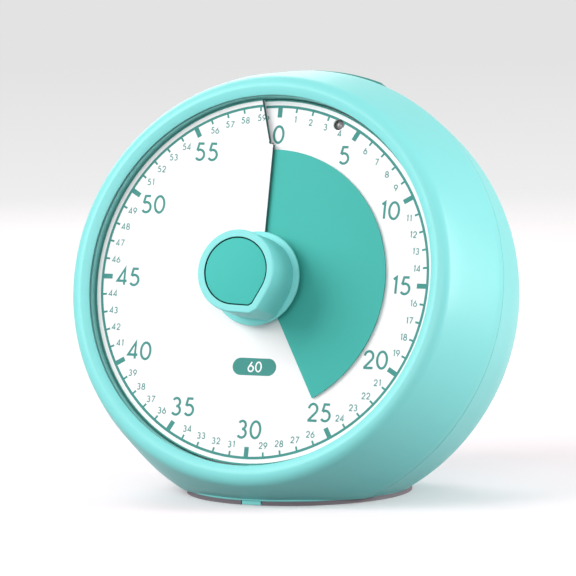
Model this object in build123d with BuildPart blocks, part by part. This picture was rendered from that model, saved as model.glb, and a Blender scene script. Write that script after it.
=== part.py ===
"""Visual countdown timer: a round case leaning back on a low foot, with a white sixty minute dial,
a coloured disc that slides out through a slit in the dial, and a knob with a pointed nose.

Frame: +Z up, the dial faces -Y, origin at the centre of the foot's resting face.  All sizes in mm.
"level" is a distance from the dial centre along the dial's own axis, positive towards the user.
"""

import os
from math import acos, atan2, cos, hypot, pi, radians, sin, sqrt

from build123d import *

os.makedirs("parts", exist_ok=True)

# ------------------------------------------------------------------ driving dimensions

# stance
dial_tilt = 15.0                # lean of the dial from upright, degrees
dial_setback = 21.4             # dial centre ahead of the foot's centre
body_sink = 7.51                # of the round body below the table, where the foot cuts it off

# dial sheet, time disc and their common screw pitch
screw_pitch = 2.0               # rise of dial sheet and disc in one clockwise turn
sheet_radius = 52.0
sheet_thickness = 0.7
sheet_bore = 8.0
slit_corner_inset = 13.2        # from the sheet's edge to the corner where the slit starts to lean
slit_lean = 6.35                # degrees the slit leans to the left at the sheet's edge
slit_offset = -0.3              # of its radial stretch to the right of the zero mark
slit_jog = 1.1                  # to the left, where it starts to lean
slit_relief_radius = 0.3
slit_lap = 8.5                  # degrees the sheet's low end reaches on under its high end
slit_overrun = 2.0
lamp_inset = 3.3                # lamp's centre from the sheet's edge
lamp_angle = 22.2               # degrees clockwise from the zero mark
lamp_hole_radius = 1.5
disc_room = 1.0                 # between the disc's edge and the slit's corner
disc_thickness = 0.4
disc_sweep = 358.5
rest_setting = 150.0            # disc's leading edge at rest: 25 minutes
hub_radius = 6.4
hub_length = 2.75
hub_low_level = -0.85

# inner ring and dial plate
edge_gap = 0.3                  # between the sheet's edge and the wall round it
glue_gap = 0.05
ring_wall = 2.3
ring_draft = 0.3
lip_underside = 3.7
lip_gap = 0.35
ledge_width = 1.3
ledge_steps = 12
plate_level = -4.0
plate_thickness = 1.6
plate_lap = 5.0                 # of the dial plate beyond the sheet
dial_screw_inset = 1.0          # of the screws' circle from the plate's edge
dial_screw_radius = 0.8
dial_screw_head = 1.5
dial_screw_length = 5.0

# outline of the case: runs are steps outward in radius, levels are along the dial axis
lip_reach = 0.8                 # of the lip beyond the sheet's edge
lip_level = 4.1
cone_run = 1.9
face_level = 5.6
face_round = 4.0
flank_run = 5.3
flank_level = -1.4
shoulder_run = 4.3
shoulder_level = -18.6
shoulder_round = 9.0
dome_inset = 1.05               # of the dome's widest circle from the shoulder
dome_centre_level = -25.3
dome_radius = 48.9
back_level = -64.0
back_round = 7.0
seam_behind_shoulder = 2.0
seam_groove = 0.3
wall = 2.4

lip_radius = sheet_radius + lip_reach
face_radius = lip_radius + cone_run
flank_radius = face_radius + flank_run
shoulder_radius = flank_radius + shoulder_run
dome_centre_radius = shoulder_radius - dome_inset - dome_radius
seam_level = shoulder_level - seam_behind_shoulder
pocket_radius = sheet_radius + edge_gap + ring_wall
plate_radius = sheet_radius + plate_lap
plate_back = plate_level - plate_thickness
dial_screw_circle = plate_radius - dial_screw_inset
slit_corner_radius = sheet_radius - slit_corner_inset
disc_radius = slit_corner_radius - disc_room
lamp_radius = sheet_radius - lamp_inset

# knob
knob_face_level = 19.2
knob_radius = 11.6
nose_angle = 115.0
nose_cut = 0.8                  # of the nose's point, cut off flat
flange_radius = 13.5
flange_low_level = 3.75
flange_level = 5.9
knob_wall = 2.0
inlay_offset = 2.05
inlay_groove = 0.35
inlay_depth = 1.2
socket_radius = 5.4
socket_low_level = 4.2

# shaft and friction clutch
shaft_radius = 3.0
shaft_flat = 2.3                # distance of the shaft's flat from its axis
shaft_top_level = 14.0
shaft_step_level = -16.0
pivot_radius = 2.0
running_clearance = 0.06
bushing_radius = 4.5
nut_across_flats = 12.0
nut_height = 2.0

# movement
wheel_room = 1.2                # between the third wheel's tips and the movement's wall
movement_corner = 7.0
movement_wall = 1.4
movement_front_thickness = 1.6
movement_split_level = -14.0
movement_back_level = -23.4
movement_screw_inset = 4.4
movement_boss_radius = 3.0
wheel_thickness = 1.1
main_teeth = 48
main_module = 0.6
train_teeth = 36
pinion_teeth = 12
train_module = 0.5
mesh_clearance = 0.12
staff_radius = 0.8
coil_low = -5.0
coil_length = 14.0
coil_radius = 3.3
coil_room = 2.8                 # between the coil and the movement's wall
magnet_radius = 3.2
magnet_height = 3.0
magnet_gap = 0.5
stator_thickness = 1.4
stator_width = 2.1              # of its eye round the magnet
core_width = 3.0
cam_radius = 8.0
cam_thickness = 1.2
cam_drop = 2.2                  # of the cam's back below the bushing's flange
cam_notch = 2.4
leaf_length = 22.0
leaf_thickness = 0.3
leaf_gap = 0.45
leaf_offset = -8.0              # of the leaf's middle to the left of the shaft
leaf_foot_length = 3.0
leaf_foot_width = 4.0
clip_radius = 4.0
clip_thickness = 0.6
clip_slot = 2.0

# electronics
board_thickness = 1.6
lamp_board_level = -7.2
lamp_board_width = 10.0
lamp_board_height = 7.0
lamp_post_offset = 3.4
lamp_post_radius = 1.0
speaker_radius = 14.0
speaker_rim = 1.8
speaker_depth = 6.2
speaker_height = 15.0           # of its centre above the dial axis
speaker_room = 0.4              # round the speaker, in its collar
collar_thickness = 1.4
collar_height = 3.2
gasket_thickness = 0.3
gasket_width = 1.6
grille_slots = 7
grille_pitch = 3.2
grille_slot_width = 1.5
grille_radius = 12.0
board_width = 46.0
board_height = 20.0
board_stand = 3.6               # height of the board's posts
board_corner = 1.5
board_post_inset = 3.0
large_chip = (9.0, 7.0, 1.4)
small_chip = (5.0, 4.0, 1.4)
chip_offset = 6.0               # of both chips from the board's middle
small_chip_rise = 3.0
capacitor_radius = 2.5
capacitor_height = 5.0
capacitor_place = (12.5, -3.0)
switch_height = -17.0
switch_length = 13.0
switch_width = 5.6
switch_travel = 5.0
switch_gap = 0.8                # between the switch and the back
slider_length = 4.0
slider_width = 3.0
slider_proud = 1.6
slider_gap = 0.35
slider_neck = (2.4, 2.0)
slider_groove = 0.4
slider_groove_pitch = 1.1

# press bar on top
bar_half_width = 21.0
bar_length = 21.0
bar_corner = 3.0
bar_front_corner = 0.8
bar_proud = 0.6
bar_gap = 0.35
bar_skin = 2.2
bar_rim = 1.6
bar_flange = 1.0
bar_flange_width = 1.2
bar_travel = 0.8
bar_stem_radius = 2.0
bar_board_drop = 18.3           # of the bar's board below the shoulder
bar_board_depth = 12.0
bar_board_end = 3.0             # of the board beyond its screws
bar_post_radius = 2.16
bar_post_room = 1.6             # between the posts and the bar's flange
tact_size = 6.0
tact_height = 3.5
plunger_height = 1.0
plunger_radius = 1.7
plunger_gap = 0.3               # left above the plunger when the bar is down

# battery bay in the foot
cell_radius = 5.25
cell_length = 44.5
cell_gap = 0.7                  # between the two cells
cell_lift = 1.2                 # of the cells above the door's recess
nub_radius = 1.9
nub_length = 0.8
cell_room = 0.5                 # round the cells, inside their box
spring_room = 3.2
spring_radius = 2.6
spring_wire = 0.25
spring_turns = 3
contact_thickness = 0.3
contact_width = 8.0
box_wall = 1.4
door_end_lap = 1.05             # of the door beyond the box at each end
door_side_lap = 2.15
door_corner = 5.0
door_low = 0.4
door_thickness = 1.2
door_gap = 0.35
slot_width = 0.7
slot_length = 8.0
hinge_length = 36.0
hinge_pin_radius = 0.5
hinge_pin_length = 2.0
hinge_ear = 2.4
window_shift = 0.6              # of the foot pad's window, which clears the hinge at the back
tongue_width = 5.8              # of the door's tongue, which shows in the pad's front notch
tongue_low = 0.15
tongue_thickness = 1.0
tongue_room = 0.3
base_plate_thickness = 2.4

# foot
foot_rim = 5.4                  # round the battery door's corners
foot_thickness = 1.2
foot_gap = 0.1                  # between the foot's wall and what sits inside it
pedestal_top = 20.0

# long screws that join the case halves, and the base plate's screws
case_screw_inset = 8.3          # of the screws' circle from the shoulder
case_screw_radius = 1.45
case_screw_head = 2.8
case_screw_head_height = 2.2
case_boss_radius = 3.6
case_head_depth = 9.4           # of the screw heads' seats behind the seam
case_screw_length = 17.5
base_screw_inset = 6.0          # of the screws' circle from the foot's wall
base_screw_angle = 33.0
base_screw_radius = 1.1
base_screw_head = 2.0
base_screw_head_height = 1.2
base_screw_length = 7.3
base_post_height = 7.0
small_screw_radius = 0.9
small_screw_head = 1.7
small_screw_head_height = 1.2
screw_play = 0.1                # round each shank, in its hole
tip_room = 0.3                  # past each tip, in its hole

# ------------------------------------------------------------------ sizes that follow

case_screw_circle = shoulder_radius - case_screw_inset
case_head_level = seam_level - case_head_depth
back_inside = back_level + wall
board_level = back_inside + board_stand
bar_front_level = seam_level - bar_gap
bar_board_height = shoulder_radius - bar_board_drop
bar_post_offset = bar_half_width + bar_flange_width + bar_post_room + bar_post_radius
cell_spacing = 2 * cell_radius + cell_gap
recess_high = door_low + door_thickness + door_gap
cell_height = recess_high + cell_lift + cell_radius
box_inside_length = cell_length + spring_room + 2 * contact_thickness
box_inside_width = cell_spacing + 2 * cell_radius + 2 * cell_room
door_length = box_inside_length + 2 * door_end_lap
door_width = box_inside_width + 2 * door_side_lap
foot_radius = (
    hypot(door_length / 2 - door_corner, door_width / 2 - door_corner) + door_corner + foot_rim
)
base_plate_high = foot_thickness + base_plate_thickness
base_screw_circle = foot_radius - wall - base_screw_inset

# ------------------------------------------------------------------ datum planes and helpers

lean = radians(dial_tilt)
dome_centre_drop = dome_centre_radius * cos(lean) - dome_centre_level * sin(lean)
dial_height = dome_centre_drop + dome_radius - body_sink
dial_centre = Vector(0, -dial_setback, dial_height)
dial_up = Vector(0, sin(lean), cos(lean))
dial_out = Vector(0, -cos(lean), sin(lean))
dial_plane = Plane(origin=dial_centre, x_dir=(1, 0, 0), z_dir=dial_out)
section_plane = Plane(origin=dial_centre, x_dir=dial_up, z_dir=(1, 0, 0))
screw_plane = Plane(origin=dial_centre, x_dir=dial_up, z_dir=dial_out)
dial_axis = Axis(dial_centre, dial_out)


def at(radius, angle):
    """Point on the dial plane, its angle in degrees clockwise from the zero mark."""
    return radius * sin(radians(angle)), radius * cos(radians(angle))


def towards(start, distance, angle):
    """Point a distance from start, its angle in degrees anticlockwise from the dial's right."""
    return start[0] + distance * cos(radians(angle)), start[1] + distance * sin(radians(angle))


def disc_between(radius, low, high, centre=(0, 0), bore=0.0, mode=Mode.ADD):
    """Round plate about the dial axis, or about a line beside it, between two levels."""
    with BuildSketch(dial_plane.offset(low)) as outline:
        with Locations(centre):
            Circle(radius)
            if bore:
                Circle(bore, mode=Mode.SUBTRACT)
    extrude(outline.sketch, amount=high - low, mode=mode)


def block_between(width, height, low, high, centre=(0, 0), corner=0.0, mode=Mode.ADD):
    """Rectangular plate square to the dial axis between two levels."""
    with BuildSketch(dial_plane.offset(low)) as outline:
        with Locations(centre):
            if corner:
                RectangleRounded(width, height, corner)
            else:
                Rectangle(width, height)
    extrude(outline.sketch, amount=high - low, mode=mode)


def save(builder, name):
    """Label a finished piece and write it."""
    builder.part.label = name
    export_step(builder.part, f"parts/{name}.step")


top_plane = Plane(origin=dial_centre, x_dir=(1, 0, 0), z_dir=dial_up)


def top_point(across, level):
    """Point on a plane square to the press bar's stroke."""
    return across, -level


# ------------------------------------------------------------------ case outline


def dome_touch(dome, shoulder):
    """Angle on the dome's circle where a line from the shoulder corner touches it."""
    run_radius = shoulder - dome_centre_radius
    run_level = shoulder_level - dome_centre_level
    reach = hypot(run_radius, run_level)
    return atan2(run_level, run_radius) - atan2(sqrt(reach**2 - dome**2), dome)


def on_dome(dome, angle):
    return dome_centre_radius + dome * cos(angle), dome_centre_level + dome * sin(angle)


def body_of_revolution(inset, front):
    """Solid of the case about the dial axis, moved in by inset, with its front outline given."""
    dome = dome_radius - inset
    shoulder = shoulder_radius - inset
    back = back_level + inset
    touch = dome_touch(dome, shoulder)
    back_drop = back - dome_centre_level
    back_angle = atan2(back_drop, sqrt(dome**2 - back_drop**2))
    with BuildPart() as body:
        with BuildSketch(section_plane) as section:
            with BuildLine() as outline:
                front()
                Line(outline.line @ 1, (shoulder, shoulder_level))
                Line((shoulder, shoulder_level), on_dome(dome, touch))
                ThreePointArc(
                    on_dome(dome, touch),
                    on_dome(dome, (touch + back_angle) / 2),
                    on_dome(dome, back_angle),
                )
                Polyline(on_dome(dome, back_angle), (0, back), outline.line @ 0)
            make_face()
            corners = section.vertices()
            fillet(corners.sort_by_distance((shoulder, shoulder_level))[0], shoulder_round)
            corners = section.vertices()
            fillet(corners.sort_by_distance(on_dome(dome, back_angle))[0], back_round - inset)
        revolve(axis=dial_axis)
    return body.part


def outer_front():
    """Rounded ring round the dial, then the flank that flares back to the shoulder."""
    Line((0, face_level), (face_radius, face_level))
    centre_level = face_level - face_round
    drop = centre_level - flank_level
    run = flank_radius - face_radius
    turn = acos(face_round / hypot(run, drop)) - atan2(drop, run)
    middle = (turn + pi / 2) / 2
    touch = (face_radius + face_round * cos(turn), centre_level + face_round * sin(turn))
    ThreePointArc(
        (face_radius, face_level),
        (face_radius + face_round * cos(middle), centre_level + face_round * sin(middle)),
        touch,
    )
    Line(touch, (flank_radius, flank_level))


def inner_front():
    """Pocket for the inner ring, the seat of the dial plate, then the hollow behind them."""
    seat = plate_radius + edge_gap
    Polyline(
        (0, lip_underside),
        (pocket_radius, lip_underside),
        (pocket_radius, plate_level),
        (seat, plate_level),
        (seat + edge_gap, plate_level - plate_thickness),
    )


def plain_front():
    """Front outline where it doesn't matter: a plain step well ahead of the shoulder."""
    Polyline((0, flank_level), (flank_radius, flank_level))


def case_block(inset, front):
    """Case with its pedestal, as one solid block, moved in by inset."""
    with BuildPart() as block:
        add(body_of_revolution(inset, front))
        with BuildSketch(Plane.XY.offset(foot_thickness)):
            Circle(foot_radius - inset)
        extrude(amount=pedestal_top - foot_thickness)
        split(bisect_by=Plane.XY.offset(foot_thickness), keep=Keep.TOP)
    return block.part


def rounded_case_block():
    """Outside of the case, its pedestal blended into the body."""
    with BuildPart() as block:
        add(case_block(0, outer_front))
        # the dial window, from the lip inward and the cone in front of it
        with BuildSketch(section_plane):
            with BuildLine():
                Polyline(
                    (0, face_level + 1),
                    (face_radius + 1, face_level + 1),
                    (face_radius, face_level),
                    (lip_radius, lip_level),
                    (lip_radius, lip_underside - 1),
                    (0, lip_underside - 1),
                    close=True,
                )
            make_face()
        revolve(axis=dial_axis, mode=Mode.SUBTRACT)
    return block.part


outside = rounded_case_block()
hollow = case_block(wall, inner_front)


def radial_bosses(circle, first_angle, radius, low, high):
    """Four bosses parallel to the dial axis, each with a web out into the wall."""
    with BuildPart() as bosses:
        with BuildSketch(dial_plane.offset(low)):
            for quarter in range(4):
                angle = first_angle + 90 * quarter
                with Locations(at(circle, angle)):
                    Circle(radius)
                with Locations(at(circle + radius, angle)):
                    Rectangle(2 * radius, 2 * radius, rotation=-angle)
        extrude(amount=high - low)
        add(outside, mode=Mode.INTERSECT)
    return bosses.part


def four_holes(circle, first_angle, radius, low, high):
    """Four holes parallel to the dial axis, cut from the open part."""
    with BuildSketch(dial_plane.offset(low)) as circles:
        for quarter in range(4):
            with Locations(at(circle, first_angle + 90 * quarter)):
                Circle(radius)
    extrude(circles.sketch, amount=high - low, mode=Mode.SUBTRACT)


def four_screws(circle, first_angle, radius, head, head_height, under_head, length):
    """Four screws parallel to the dial axis, heads to the back, tips towards the dial."""
    with BuildPart() as screws:
        for quarter in range(4):
            centre = at(circle, first_angle + 90 * quarter)
            disc_between(radius, under_head, under_head + length, centre)
            disc_between(head, under_head - head_height, under_head, centre)
    return screws


def on_foot(radius, angle):
    """Point on the foot, its angle in degrees from the front, seen from above."""
    return radius * sin(radians(angle)), -radius * cos(radians(angle))


base_screw_angles = [base_screw_angle, 180 - base_screw_angle, 180 + base_screw_angle, -base_screw_angle]


def base_posts():
    """Four posts on the inside of the pedestal that take the base plate's screws."""
    post_radius = 2 * base_screw_radius
    with BuildPart() as posts:
        # heels inside the pedestal's wall, down beside the base plate
        with BuildSketch(Plane.XY.offset(foot_thickness)):
            for angle in base_screw_angles:
                with Locations(on_foot(foot_radius - 0.75 * wall, angle)):
                    Rectangle(2 * post_radius, wall / 2, rotation=angle)
        extrude(amount=base_plate_thickness)
        with BuildSketch(Plane.XY.offset(base_plate_high)):
            for angle in base_screw_angles:
                with Locations(on_foot(base_screw_circle, angle)):
                    Circle(post_radius)
                with Locations(on_foot((base_screw_circle + foot_radius - wall / 2) / 2, angle)):
                    Rectangle(2 * post_radius, foot_radius - wall / 2 - base_screw_circle, rotation=angle)
        extrude(amount=base_post_height)
        with BuildSketch(Plane.XY.offset(base_plate_high)):
            for angle in base_screw_angles:
                with Locations(on_foot(base_screw_circle, angle)):
                    Circle(base_screw_radius + screw_play)
        extrude(amount=base_post_height - 1, mode=Mode.SUBTRACT)
        add(outside, mode=Mode.INTERSECT)
    return posts.part


def case_half(keep, bosses):
    """One half of the hollow case with its bosses, on one side of the seam."""
    with BuildPart() as half:
        add(outside)
        add(hollow, mode=Mode.SUBTRACT)
        for boss in bosses:
            add(boss)
        split(bisect_by=dial_plane.offset(seam_level), keep=keep)
    return half.part


def seam_chamfer(side):
    """Cut the fine groove that shows as the parting line; side is 1 in front, -1 behind."""
    edge = seam_edge_radius()
    with BuildSketch(section_plane) as groove:
        with BuildLine():
            Polyline(
                (edge - seam_groove, seam_level),
                (edge + 1, seam_level),
                (edge + 1, seam_level + side * (seam_groove + 1)),
                close=True,
            )
        make_face()
    revolve(groove.sketch, axis=dial_axis, mode=Mode.SUBTRACT)


def seam_edge_radius():
    """Radius of the case's outside at the seam, on the straight run behind the shoulder."""
    touch = on_dome(dome_radius, dome_touch(dome_radius, shoulder_radius))
    share = (seam_level - shoulder_level) / (touch[1] - shoulder_level)
    return shoulder_radius + share * (touch[0] - shoulder_radius)


bar_middle = top_point(0, bar_front_level - bar_length / 2)


def bar_prism(grow, low, high):
    """Straight block with the press bar's outline, grown by grow; its front corners are tighter."""
    front_strip = top_point(0, bar_front_level - bar_corner)
    with BuildPart() as prism:
        with BuildSketch(top_plane.offset(low)):
            with Locations(bar_middle):
                RectangleRounded(2 * (bar_half_width + grow), bar_length + 2 * grow, bar_corner + grow)
            with Locations(front_strip):
                RectangleRounded(2 * (bar_half_width + grow), 2 * (bar_corner + grow), bar_front_corner)
        extrude(amount=high - low)
    return prism.part


# ------------------------------------------------------------------ case

posts = base_posts()
screw_tip_level = case_head_level + case_screw_length
front_bosses = radial_bosses(case_screw_circle, 45, case_boss_radius, seam_level, screw_tip_level + 1)
with BuildPart() as front_housing:
    add(case_half(Keep.TOP, [front_bosses, posts]))
    four_holes(case_screw_circle, 45, case_screw_radius + screw_play,
               seam_level, screw_tip_level + tip_room)
    four_holes(dial_screw_circle, 0, dial_screw_radius + screw_play,
               plate_level, plate_back + dial_screw_length + tip_room)
    seam_chamfer(1)
    # room above the battery door's tongue
    with BuildSketch(Plane.XY.offset(foot_thickness)):
        with Locations((0, -foot_radius)):
            Rectangle(tongue_width + 2 * door_gap, 4 * wall)
    extrude(amount=tongue_room, mode=Mode.SUBTRACT)
save(front_housing, "front_housing")

rear_bosses = radial_bosses(
    case_screw_circle, 45, case_boss_radius, back_level, seam_level
)
post_low = bar_board_height + board_thickness
with BuildPart() as bar_posts:
    with BuildSketch(top_plane.offset(post_low)):
        for side in (-1, 1):
            with Locations((side * bar_post_offset, bar_middle[1])):
                Circle(bar_post_radius)
    extrude(amount=shoulder_radius - post_low)
    with BuildSketch(top_plane.offset(post_low)):
        for side in (-1, 1):
            with Locations((side * bar_post_offset, bar_middle[1])):
                Circle(small_screw_radius + screw_play)
    extrude(amount=wall + tip_room, mode=Mode.SUBTRACT)
    add(body_of_revolution(wall / 2, plain_front), mode=Mode.INTERSECT)

with BuildPart() as rear_cover:
    add(case_half(Keep.BOTTOM, [rear_bosses, posts]))
    four_holes(case_screw_circle, 45, case_screw_head + 2 * screw_play, back_level, case_head_level)
    four_holes(case_screw_circle, 45, case_screw_radius + screw_play, case_head_level, seam_level)
    seam_chamfer(-1)
    # notch for the press bar, open to the seam, and the two posts of its board
    add(bar_prism(bar_gap, bar_board_height, shoulder_radius + 5), mode=Mode.SUBTRACT)
    add(bar_posts.part)
    # speaker's collar and grille
    disc_between(speaker_radius + speaker_room + collar_thickness, back_inside, back_inside + collar_height,
                 (0, speaker_height), bore=speaker_radius + speaker_room)
    with BuildSketch(dial_plane.offset(back_level)):
        for slot in range(grille_slots):
            rise = (slot - (grille_slots - 1) / 2) * grille_pitch
            half_chord = sqrt(grille_radius**2 - rise**2)
            with Locations((0, speaker_height + rise)):
                SlotOverall(2 * half_chord, grille_slot_width)
    extrude(amount=wall, mode=Mode.SUBTRACT)
    # posts of the main board, and the volume slider's slot
    for x in (-1, 1):
        for y in (-1, 1):
            post = (x * (board_width / 2 - board_post_inset),
                    switch_height + y * (board_height / 2 - board_post_inset))
            disc_between(bar_post_radius, back_inside, board_level, post)
            disc_between(small_screw_radius + screw_play, back_inside + 0.6, board_level, post,
                         mode=Mode.SUBTRACT)
    block_between(slider_length + switch_travel + 2 * slider_gap, slider_width + 2 * slider_gap,
                  back_level, back_inside, (switch_travel / 2, switch_height), mode=Mode.SUBTRACT)
save(rear_cover, "rear_cover")

case_screws = four_screws(case_screw_circle, 45, case_screw_radius, case_screw_head,
                          case_screw_head_height, case_head_level, case_screw_length)
save(case_screws, "case_screws")

# ------------------------------------------------------------------ dial


def helicoid(inner, outer, top, thickness, start, turn):
    """Thin sheet about the dial axis that climbs one screw pitch in a clockwise turn.

    top is the level of its upper face at the zero mark; start and turn are in degrees.
    """
    middle = (inner + outer) / 2
    with BuildPart() as sheet:
        with BuildLine() as path:
            Helix(screw_pitch, screw_pitch * turn / 360, middle, lefthand=True)
        with BuildSketch(Plane.XZ):
            with Locations((middle, top - thickness / 2)):
                Rectangle(outer - inner, thickness)
        sweep(path=path.line, is_frenet=True)
    lift = screw_pitch * start / 360
    return sheet.part.moved(screw_plane.location * Location((0, 0, lift), (0, 0, -start)))


def trim_high_end():
    """Cut the sheet's high end back to the slit: a radial stretch, a jog, then the leaning stretch."""
    edge = at(sheet_radius + 4, -slit_lean)
    with BuildSketch(dial_plane.offset(screw_pitch / 2)) as ground:
        with BuildLine():
            Polyline(
                (slit_offset, 0),
                (slit_offset, slit_corner_radius),
                (slit_offset - slit_jog, slit_corner_radius + 0.2),
                edge,
                at(sheet_radius + 8, -slit_lean + 30),
                at(sheet_bore, 60),
                close=True,
            )
        make_face()
    extrude(ground.sketch, amount=screw_pitch, mode=Mode.SUBTRACT)


sheet_start = -slit_lean - slit_lap
with BuildPart() as dial_sheet:
    add(helicoid(sheet_bore, sheet_radius, 0, sheet_thickness, sheet_start, 360 + slit_overrun - sheet_start))
    trim_high_end()
    disc_between(lamp_hole_radius, -screw_pitch, screw_pitch, at(lamp_radius, lamp_angle), mode=Mode.SUBTRACT)
    disc_between(slit_relief_radius, -screw_pitch, 2 * screw_pitch,
                 (slit_offset - slit_jog, slit_corner_radius + 2 * slit_relief_radius), mode=Mode.SUBTRACT)
save(dial_sheet, "dial_sheet")

with BuildPart() as time_disc:
    disc_top = (screw_pitch - sheet_thickness + disc_thickness) / 2
    add(helicoid(hub_radius + glue_gap, disc_radius, disc_top, disc_thickness,
                 rest_setting - disc_sweep, disc_sweep))
save(time_disc, "time_disc")

with BuildPart() as inner_ring:
    with BuildSketch(section_plane):
        with BuildLine():
            wall_inside = sheet_radius + edge_gap
            Polyline(
                (wall_inside, plate_level),
                (pocket_radius - glue_gap, plate_level),
                (pocket_radius - glue_gap, lip_underside - lip_gap),
                (wall_inside + ring_draft, lip_underside - lip_gap),
                close=True,
            )
        make_face()
    revolve(axis=dial_axis)
    ledge_inside = sheet_radius - ledge_width
    ledge_top = -sheet_thickness - glue_gap
    # ledge under the sheet's edge, in steps that climb with the sheet
    for step in range(ledge_steps):
        start = 360 / ledge_steps * step + sheet_start
        end = start + 360 / ledge_steps
        with BuildSketch(dial_plane.offset(plate_level)):
            Circle(wall_inside + ring_draft)
            Circle(ledge_inside, mode=Mode.SUBTRACT)
            with BuildLine():
                reach = 1.2 * sheet_radius
                Polyline((0, 0), at(reach, start), at(reach, (start + end) / 2), at(reach, end), close=True)
            make_face(mode=Mode.INTERSECT)
        extrude(amount=ledge_top + screw_pitch * start / 360 - plate_level)
save(inner_ring, "inner_ring")

pinion_low = movement_back_level + movement_wall + 1.6
main_level = pinion_low + 0.2
second_level = main_level + 2.6
third_level = second_level + 2.4
magnet_level = third_level + 1.9
main_pitch_radius = main_teeth * main_module / 2
second_pinion_pitch_radius = pinion_teeth * main_module / 2
train_wheel_radius = train_teeth * train_module / 2
train_pinion_radius = pinion_teeth * train_module / 2
second_heading = 225.0
third_heading = -20.0
rotor_heading = 10.0
main_spacing = main_pitch_radius + second_pinion_pitch_radius + mesh_clearance
second_arbor = towards((0, 0), main_spacing, second_heading)
train_distance = train_wheel_radius + train_pinion_radius + mesh_clearance
third_arbor = towards(second_arbor, train_distance, third_heading)
rotor_arbor = towards(third_arbor, train_distance, rotor_heading)
arbors = [second_arbor, third_arbor, rotor_arbor]
inside_half = train_wheel_radius + train_module - third_arbor[1] + wheel_room
inside_width = 2 * inside_half
movement_width = inside_width + 2 * movement_wall
movement_screw_offset = movement_width / 2 - movement_screw_inset
movement_corners = [(x * movement_screw_offset, y * movement_screw_offset) for x in (-1, 1) for y in (-1, 1)]
coil_x = inside_half - coil_radius - coil_room
stator_level = magnet_level + 0.8

lamp = at(lamp_radius, lamp_angle)
lamp_bore = lamp_hole_radius + screw_play
with BuildPart() as dial_plate:
    disc_between(plate_radius, plate_back, plate_level, bore=bushing_radius + running_clearance)
    four_holes(dial_screw_circle, 0, dial_screw_radius + screw_play, plate_back, plate_level)
    for x in (-lamp_post_offset, lamp_post_offset):
        disc_between(lamp_post_radius, lamp_board_level, plate_back, (lamp[0] + x, lamp[1]))
    disc_between(lamp_bore, plate_back, plate_level, lamp, mode=Mode.SUBTRACT)
    for corner in movement_corners:
        disc_between(small_screw_radius + screw_play, plate_back, plate_level - 0.4, corner,
                     mode=Mode.SUBTRACT)
save(dial_plate, "dial_plate")

dial_screws = four_screws(dial_screw_circle, 0, dial_screw_radius, dial_screw_head,
                          small_screw_head_height, plate_back, dial_screw_length)
save(dial_screws, "dial_screws")

with BuildPart() as lamp_led:
    disc_between(lamp_hole_radius + 0.35, lamp_board_level, lamp_board_level + 0.8, lamp)
    disc_between(lamp_hole_radius, lamp_board_level + 0.8, -2.2, lamp)
    tip = lamp_led.faces().sort_by(dial_axis)[-1]
    fillet(tip.edges(), 0.9 * lamp_hole_radius)
save(lamp_led, "lamp")

with BuildPart() as lamp_board:
    block_between(lamp_board_width, lamp_board_height, lamp_board_level - board_thickness, lamp_board_level,
                  lamp, corner=board_corner)
save(lamp_board, "lamp_board")

# ------------------------------------------------------------------ knob, shaft and what turns with it


def knob_outline(inset):
    """Round knob with a blunted nose that stands at the disc's leading edge."""
    half = radians(nose_angle / 2)
    reach = (knob_radius - inset) / sin(half)
    tip = at(reach, rest_setting)
    flank = reach * cos(half)
    sides = []
    for side in (-1, 1):
        heading = rest_setting + 180 + side * nose_angle / 2
        step = at(flank, heading)
        sides.append((tip[0] + step[0], tip[1] + step[1]))
    with BuildSketch(mode=Mode.PRIVATE) as outline:
        Circle(knob_radius - inset)
        with BuildLine():
            Polyline(tip, sides[0], (0, 0), sides[1], close=True)
        make_face()
        nose = outline.vertices().sort_by_distance(tip)[0]
        chamfer(nose, (nose_cut - inset * (1 / sin(half) - 1)) / cos(half))
    return outline.sketch


def shaft_section(radius, flat):
    """Round with one flat, for a shaft or the bore that fits it."""
    Circle(radius)
    with Locations((0, flat + radius)):
        Rectangle(4 * radius, 2 * radius, mode=Mode.SUBTRACT)


inlay_level = knob_face_level - inlay_depth
knob_roof = inlay_level - knob_wall
with BuildPart() as knob:
    with BuildSketch(dial_plane.offset(flange_low_level)):
        add(knob_outline(0))
    extrude(amount=knob_face_level - flange_low_level)
    rim = knob.faces().sort_by(dial_axis)[-1].edges()
    fillet(rim, 0.7)
    disc_between(flange_radius, flange_low_level, flange_level)
    flange_edge = knob.edges().filter_by(GeomType.CIRCLE).filter_by(
        lambda edge: abs(edge.radius - flange_radius) < 0.01
    ).sort_by(dial_axis)[-1]
    fillet(flange_edge, 0.6)
    with BuildSketch(dial_plane.offset(inlay_level)):
        add(knob_outline(inlay_offset))
    extrude(amount=inlay_depth + 1, mode=Mode.SUBTRACT)
    with BuildSketch(dial_plane.offset(flange_low_level)):
        add(knob_outline(knob_wall))
    extrude(amount=knob_roof - flange_low_level, mode=Mode.SUBTRACT)
    disc_between(socket_radius, socket_low_level, knob_roof)
    with BuildSketch(dial_plane.offset(socket_low_level)):
        shaft_section(shaft_radius, shaft_flat)
    extrude(amount=shaft_top_level - socket_low_level, mode=Mode.SUBTRACT)
save(knob, "knob")

with BuildPart() as knob_inlay:
    with BuildSketch(dial_plane.offset(inlay_level)):
        add(knob_outline(inlay_offset + inlay_groove))
    extrude(amount=inlay_depth - 0.15)
    fillet(knob_inlay.faces().sort_by(dial_axis)[-1].edges(), 0.25)
save(knob_inlay, "knob_inlay")

with BuildPart() as knob_shaft:
    with BuildSketch(dial_plane.offset(shaft_step_level)):
        shaft_section(shaft_radius, shaft_flat)
    extrude(amount=shaft_top_level - shaft_step_level)
    disc_between(pivot_radius, movement_back_level + 0.5, shaft_step_level)
save(knob_shaft, "knob_shaft")

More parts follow.
